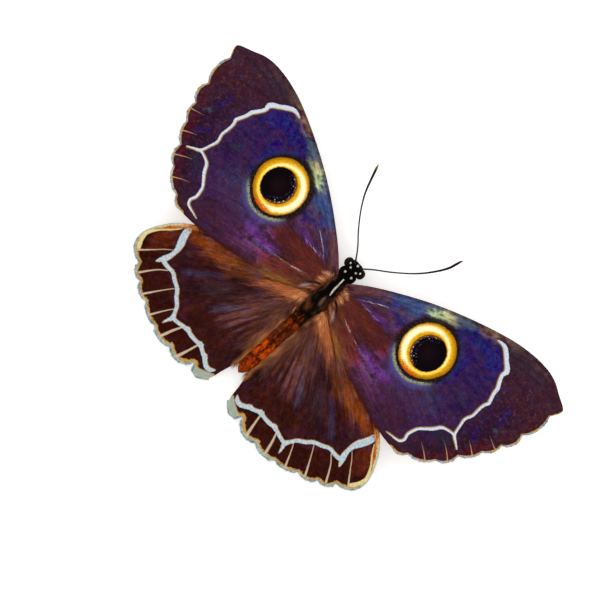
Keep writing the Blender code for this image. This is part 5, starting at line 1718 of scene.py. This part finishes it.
class BUTTERFLY_OT_stage(ButterflyOperator, bpy.types.Operator):
    """Sets up the floor, the soft light and the camera"""

    bl_idname = "butterfly.stage"
    bl_label = "Stage"

    def make(self, scene):
        settings = scene.butterfly_stage
        floor_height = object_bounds()[0][2] - FLOOR_GAP
        bpy.ops.mesh.primitive_plane_add(size=FLOOR_SIZE, location=(0, 0, floor_height))
        floor = bpy.context.active_object
        floor.name = "floor"
        made, b = new_material("pale_floor", 0.85, FLOOR_GLOSS)
        tone = b.noise(b.at(), 40.0, 3.0) * 0.03 + 0.985
        b.shade(
            made, Base_Color=b.toned(settings.floor_colour[:], tone), Emission_Color=(1, 1, 1, 1),
            Emission_Strength=settings.floor_glow,
        )
        floor.data.materials.append(made)
        floor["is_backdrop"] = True
        world = bpy.data.worlds.new("studio")
        world.use_nodes = True
        sky = world.node_tree.nodes["Background"]
        sky.inputs["Color"].default_value = (1, 1, 1, 1)
        sky.inputs["Strength"].default_value = settings.sky
        scene.world = world
        lamp = bpy.data.lights.new("soft_lamp", "AREA")
        lamp.shape, lamp.size, lamp.energy = "DISK", LAMP_SIZE, settings.lamp
        light = stand(scene, "soft_lamp", lamp)
        light.location = Vector(LAMP_PLACE)
        light.rotation_euler = light.location.to_track_quat("Z", "Y").to_euler()
        scene.view_settings.view_transform = "Standard"
        camera = bpy.data.cameras.new("camera")
        camera.lens, camera.sensor_width, camera.clip_start = settings.lens, SENSOR, 0.01
        eye = stand(scene, "camera", camera)
        right = Vector((-math.cos(VIEW_ROLL), -math.sin(VIEW_ROLL), 0))
        up = Vector((math.sin(VIEW_ROLL), -math.cos(VIEW_ROLL), 0))
        eye.matrix_world = Matrix((right, up, Vector((0, 0, 1)))).transposed().to_4x4()
        height = VIEW_WIDTH * settings.lens / SENSOR + VIEW_LEVEL
        eye.location = place((-VIEW_MIDDLE[0], VIEW_MIDDLE[1], height))
        scene.camera = eye


class BUTTERFLY_OT_wings(ButterflyOperator, bpy.types.Operator):
    """Makes the four wings with their scales and markings"""

    bl_idname = "butterfly.wings"
    bl_label = "Wings"

    def make(self, scene):
        settings = scene.butterfly_wings
        materials = {kind: (upper_material(kind, settings), under_material(kind)) for kind in WINGS}
        for kind, side_name, side, shape in each_wing(settings):
            build_wing(kind, side_name, side, shape, materials[kind])


class BUTTERFLY_OT_fringes(ButterflyOperator, bpy.types.Operator):
    """Plants the fringe of scales along each wing's outer edge"""

    bl_idname = "butterfly.fringes"
    bl_label = "Fringes"

    def make(self, scene):
        settings = scene.butterfly_wings
        tuft = tuft_mesh("fringe_scale", 0.25, 0.05, rings=2)
        material = hair_material("fringe_scales", 0.6, srgb(214, 220, 214), 0.85)
        coat = planting_tree("plant_fringe", scatter=False), tuft, material
        for kind, side_name, side, shape in each_wing(settings):
            bed = fringe_bed(kind, side_name, side, shape, settings.fringe_colour[:])
            plant(
                f"fringe_{kind}wing_{side_name}", bed, coat, f"{kind}wing_scales",
                length=settings.fringe_length, width=0.00020, lift=0.02, spread=0.16, seed=5,
            )
            drop(bed)
        drop(tuft)


class BUTTERFLY_OT_wing_hair(ButterflyOperator, bpy.types.Operator):
    """Plants the long hair near the wings' roots and along the hindwings' inner edges"""

    bl_idname = "butterfly.wing_hair"
    bl_label = "Wing hair"

    def make(self, scene):
        settings = scene.butterfly_wings
        tuft = tuft_mesh("wing_hair_tuft", 0.4, 0.10)
        material = hair_material("wing_hair", 0.55, srgb(190, 146, 120), 0.9, 1.32, 0.2)
        coat = planting_tree("plant_wing_hair", scatter=True), tuft, material
        for kind, side_name, side, shape in each_wing(settings):
            bed = hair_bed(kind, side_name, side, shape)
            plant(
                f"hair_{kind}wing_{side_name}", bed, coat, "thorax_fur", length=settings.hair_length,
                width=0.00011, lift=0.10, spread=0.16, density=HAIR_DENSITY[kind], seed=21,
            )
            drop(bed)
        drop(tuft)


class BUTTERFLY_OT_body(ButterflyOperator, bpy.types.Operator):
    """Makes the skin of the body and plants its coat of hair and scales"""

    bl_idname = "butterfly.body"
    bl_label = "Body"

    def make(self, scene):
        settings = scene.butterfly_coat
        rings = body_rings()
        points = ring_points(rings)
        density, length = body_coat(points)
        ways = unit(np.gradient(rings, axis=0)).reshape(-1, 3) * (1, -1, 1)
        skin = loft("body_skin", place(rings), skin_material("body_skin", 0.6))
        set_values(
            skin, ground=body_colours(points), coat_density=density, coat_length=length,
            lie=np.concatenate([ways, [(0, 1, 0), (0, 1, 0)]]),
        )
        tree = planting_tree("plant_coat", scatter=True)
        tuft, scale = tuft_mesh("coat_tuft", 0.4, 0.22), tuft_mesh("abdomen_scale", 0.2, 0.12)
        fur = tree, tuft, hair_material("black_fur", 0.5, settings.tip_colour[:], 0.6, 1.1, 0.22)
        scales = tree, scale, hair_material("abdomen_scales", 0.5, srgb(236, 150, 80), 0.62)
        white = tree, tuft, hair_material("spot_scales", 0.5, srgb(255, 250, 236), 0.9)
        parts = (
            ("coat_head", 6.9, FAR, fur, 0.62, 2.6e8, 0.34, "black_fur"),
            ("coat_thorax", -8.4, 6.9, fur, 1.0, 1.35e8, 0.34, "thorax_fur"),
            ("coat_abdomen", -FAR, -8.4, scales, 1.45, 6.5e7, 0.22, "abdomen_scales"),
        )
        for name, low, high, coat, width, thickness, lift, slot in parts:
            bed = add_object(f"{name}_bed", skin.data.copy())
            bed.data.attributes.remove(bed.data.attributes["coat_density"])
            set_values(bed, coat_density=((points[:, 1] >= low) & (points[:, 1] < high)) * density)
            plant(
                name, bed, coat, slot, length=settings.hair_length, width=settings.hair_width * width,
                lift=lift, spread=0.26, density=thickness, seed=settings.seed,
            )
            drop(bed)
        bed = spots_bed()
        plant(
            "pale_spots", bed, white, "black_fur", length=0.00030, width=0.00009, lift=0.2,
            spread=0.22, density=6.0e8, seed=3,
        )
        drop(bed, tuft, scale)
        settle(skin, "black_fur", "head", "collar", "thorax", "abdomen")


class BUTTERFLY_OT_eyes(ButterflyOperator, bpy.types.Operator):
    """Makes the two compound eyes, one facet at a time"""

    bl_idname = "butterfly.eyes"
    bl_label = "Eyes"

    def make(self, scene):
        tree, material = facet_tree(), eye_material()
        for side_name, side in SIDES:
            bed = mesh_from(f"eye_seed_{side_name}", np.zeros((1, 3)), [])
            obj = run_tree(f"eye_{side_name}_facets", bed, tree, {
                "Middle": tuple(place(EYE_MIDDLE, side)), "Half": tuple(np.array(EYE_HALF) * MM),
                "Relief": 0.015, "Material": material, "Fineness": 5,
            })
            drop(bed)
            face_outwards(obj)
            settle(obj, "compound_eye", f"eye_{side_name}")


class BUTTERFLY_OT_antennae(ButterflyOperator, bpy.types.Operator):
    """Makes the two ringed, clubbed antennae"""

    bl_idname = "butterfly.antennae"
    bl_label = "Antennae"

    def make(self, scene):
        tips = {"left": srgb(150, 142, 70), "right": srgb(104, 62, 44)}
        for side_name, side in SIDES:
            name = f"antenna_{side_name}"
            material = horn_material(name, srgb(14, 9, 10), tips[side_name], 0.45, 0.8, 0.06)
            obj = limb_piece(f"{name}_rings", ANTENNA[side_name], side, 14, 0.42, 0.16, material)
            settle(obj, "horn", name)


class BUTTERFLY_OT_mouth(ButterflyOperator, bpy.types.Operator):
    """Makes the coiled tongue and the two hairy palps"""

    bl_idname = "butterfly.mouth"
    bl_label = "Mouth"

    def make(self, scene):
        steps = np.linspace(0, 1, 60)
        turn = TONGUE_START - steps * TONGUE_TURNS * 2 * math.pi
        radius = TONGUE_OUTER + (TONGUE_INNER - TONGUE_OUTER) * steps
        coil = np.column_stack((
            np.zeros(60), TONGUE_MIDDLE[0] + radius * np.cos(turn),
            TONGUE_MIDDLE[1] + radius * np.sin(turn), TONGUE_RADIUS * (1 - 0.45 * steps**2),
        ))
        path = [(0, *TONGUE_ROOT, TONGUE_RADIUS), *coil]
        horn = horn_material("tongue_horn", srgb(40, 24, 18), srgb(120, 74, 44), 0.35)
        settle(limb_piece("tongue_coil", path, 1, 16, 0.22, 0.14, horn), "horn", "tongue")
        tuft = tuft_mesh("palp_tuft", 0.4, 0.2)
        material = hair_material("palp_fur", 0.5, srgb(160, 140, 120), 0.6)
        fur = planting_tree("plant_palp_hair", scatter=True), tuft, material
        skin = horn_material("palp_skin", srgb(26, 18, 18), srgb(70, 52, 44), 0.6)
        coat = ((0, 1.0), (0.5, 1.1), (0.85, 0.8), (1, 0.5))
        for side_name, side in SIDES:
            name = f"palp_{side_name}"
            ground = srgb(40, 28, 26)
            palp = limb_piece(f"{name}_skin", PALP, side, 20, 1.3, 0.12, skin, coat, ground)
            plant(
                f"{name}_hair", palp, fur, "black_fur", length=0.00042, width=0.00008, lift=0.45,
                spread=0.25, density=2.6e8, seed=31,
            )
            settle(palp, "horn", name)
        drop(tuft)


class BUTTERFLY_OT_legs(ButterflyOperator, bpy.types.Operator):
    """Makes the six legs with their joints, hair and claws"""

    bl_idname = "butterfly.legs"
    bl_label = "Legs"

    def make(self, scene):
        tuft = tuft_mesh("leg_tuft", 0.5, 0.1)
        material = hair_material("leg_fur", 0.55, srgb(150, 120, 96), 0.6)
        fur = planting_tree("plant_leg_hair", scatter=True), tuft, material
        horn = horn_material("leg_horn", srgb(48, 34, 28), srgb(112, 84, 62), 0.45)
        short = ((0, 1.4), (0.4, 1.5), (0.8, 1.5), (1, 0.9))
        long = ((0, 1.3), (0.28, 1.0), (0.5, 0.5), (0.7, 0.32), (1, 0.26))
        for leg, path in LEGS.items():
            coat = short if leg == "foreleg" else long
            for side_name, side in SIDES:
                name = f"{leg}_{side_name}"
                ground = srgb(70, 50, 40)
                limb = limb_piece(f"{name}_limb", path, side, 20, 1.05, 0.10, horn, coat, ground)
                plant(
                    f"{name}_hair", limb, fur, "thorax_fur", length=0.00042, width=0.00006, lift=0.35,
                    spread=0.22, density=9.0e7, seed=41,
                )
                if leg != "foreleg":
                    add_claws(limb, path, side, horn)
                settle(limb, "leg_horn", name)
        drop(tuft)


OPERATORS = (
    BUTTERFLY_OT_stage, BUTTERFLY_OT_wings, BUTTERFLY_OT_fringes, BUTTERFLY_OT_wing_hair,
    BUTTERFLY_OT_body, BUTTERFLY_OT_eyes, BUTTERFLY_OT_antennae, BUTTERFLY_OT_mouth, BUTTERFLY_OT_legs,
)
GROUP_SETTINGS = (
    ("butterfly_wings", ButterflyWings), ("butterfly_coat", ButterflyCoat),
    ("butterfly_stage", ButterflyStage),
)


class BUTTERFLY_PT_panel(bpy.types.Panel):
    """Lists the butterfly's settings and the operators that build it"""

    bl_idname = "BUTTERFLY_PT_panel"
    bl_label = "Owl Butterfly"
    bl_space_type = "VIEW_3D"
    bl_region_type = "UI"
    bl_category = "Butterfly"

    def draw(self, context):
        for name, kind in GROUP_SETTINGS:
            box = self.layout.box()
            for key in kind.__annotations__:
                box.prop(getattr(context.scene, name), key)
        for operator in OPERATORS:
            self.layout.operator(operator.bl_idname)


def register():
    for name, kind in GROUP_SETTINGS:
        bpy.utils.register_class(kind)
        setattr(bpy.types.Scene, name, PointerProperty(type=kind))
    for kind in (*OPERATORS, BUTTERFLY_PT_panel):
        bpy.utils.register_class(kind)


def unregister():
    for kind in (BUTTERFLY_PT_panel, *reversed(OPERATORS)):
        bpy.utils.unregister_class(kind)
    for name, kind in reversed(GROUP_SETTINGS):
        delattr(bpy.types.Scene, name)
        bpy.utils.unregister_class(kind)


def main():
    register()
    for operator in OPERATORS:
        area, name = operator.bl_idname.split(".")
        getattr(getattr(bpy.ops, area), name)()
    boxes = {"cad": CAD_BOX, "visual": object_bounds()}
    {key: [list(corner) for corner in value] for key, value in boxes.items()}


if __name__ == "__main__":
    main()
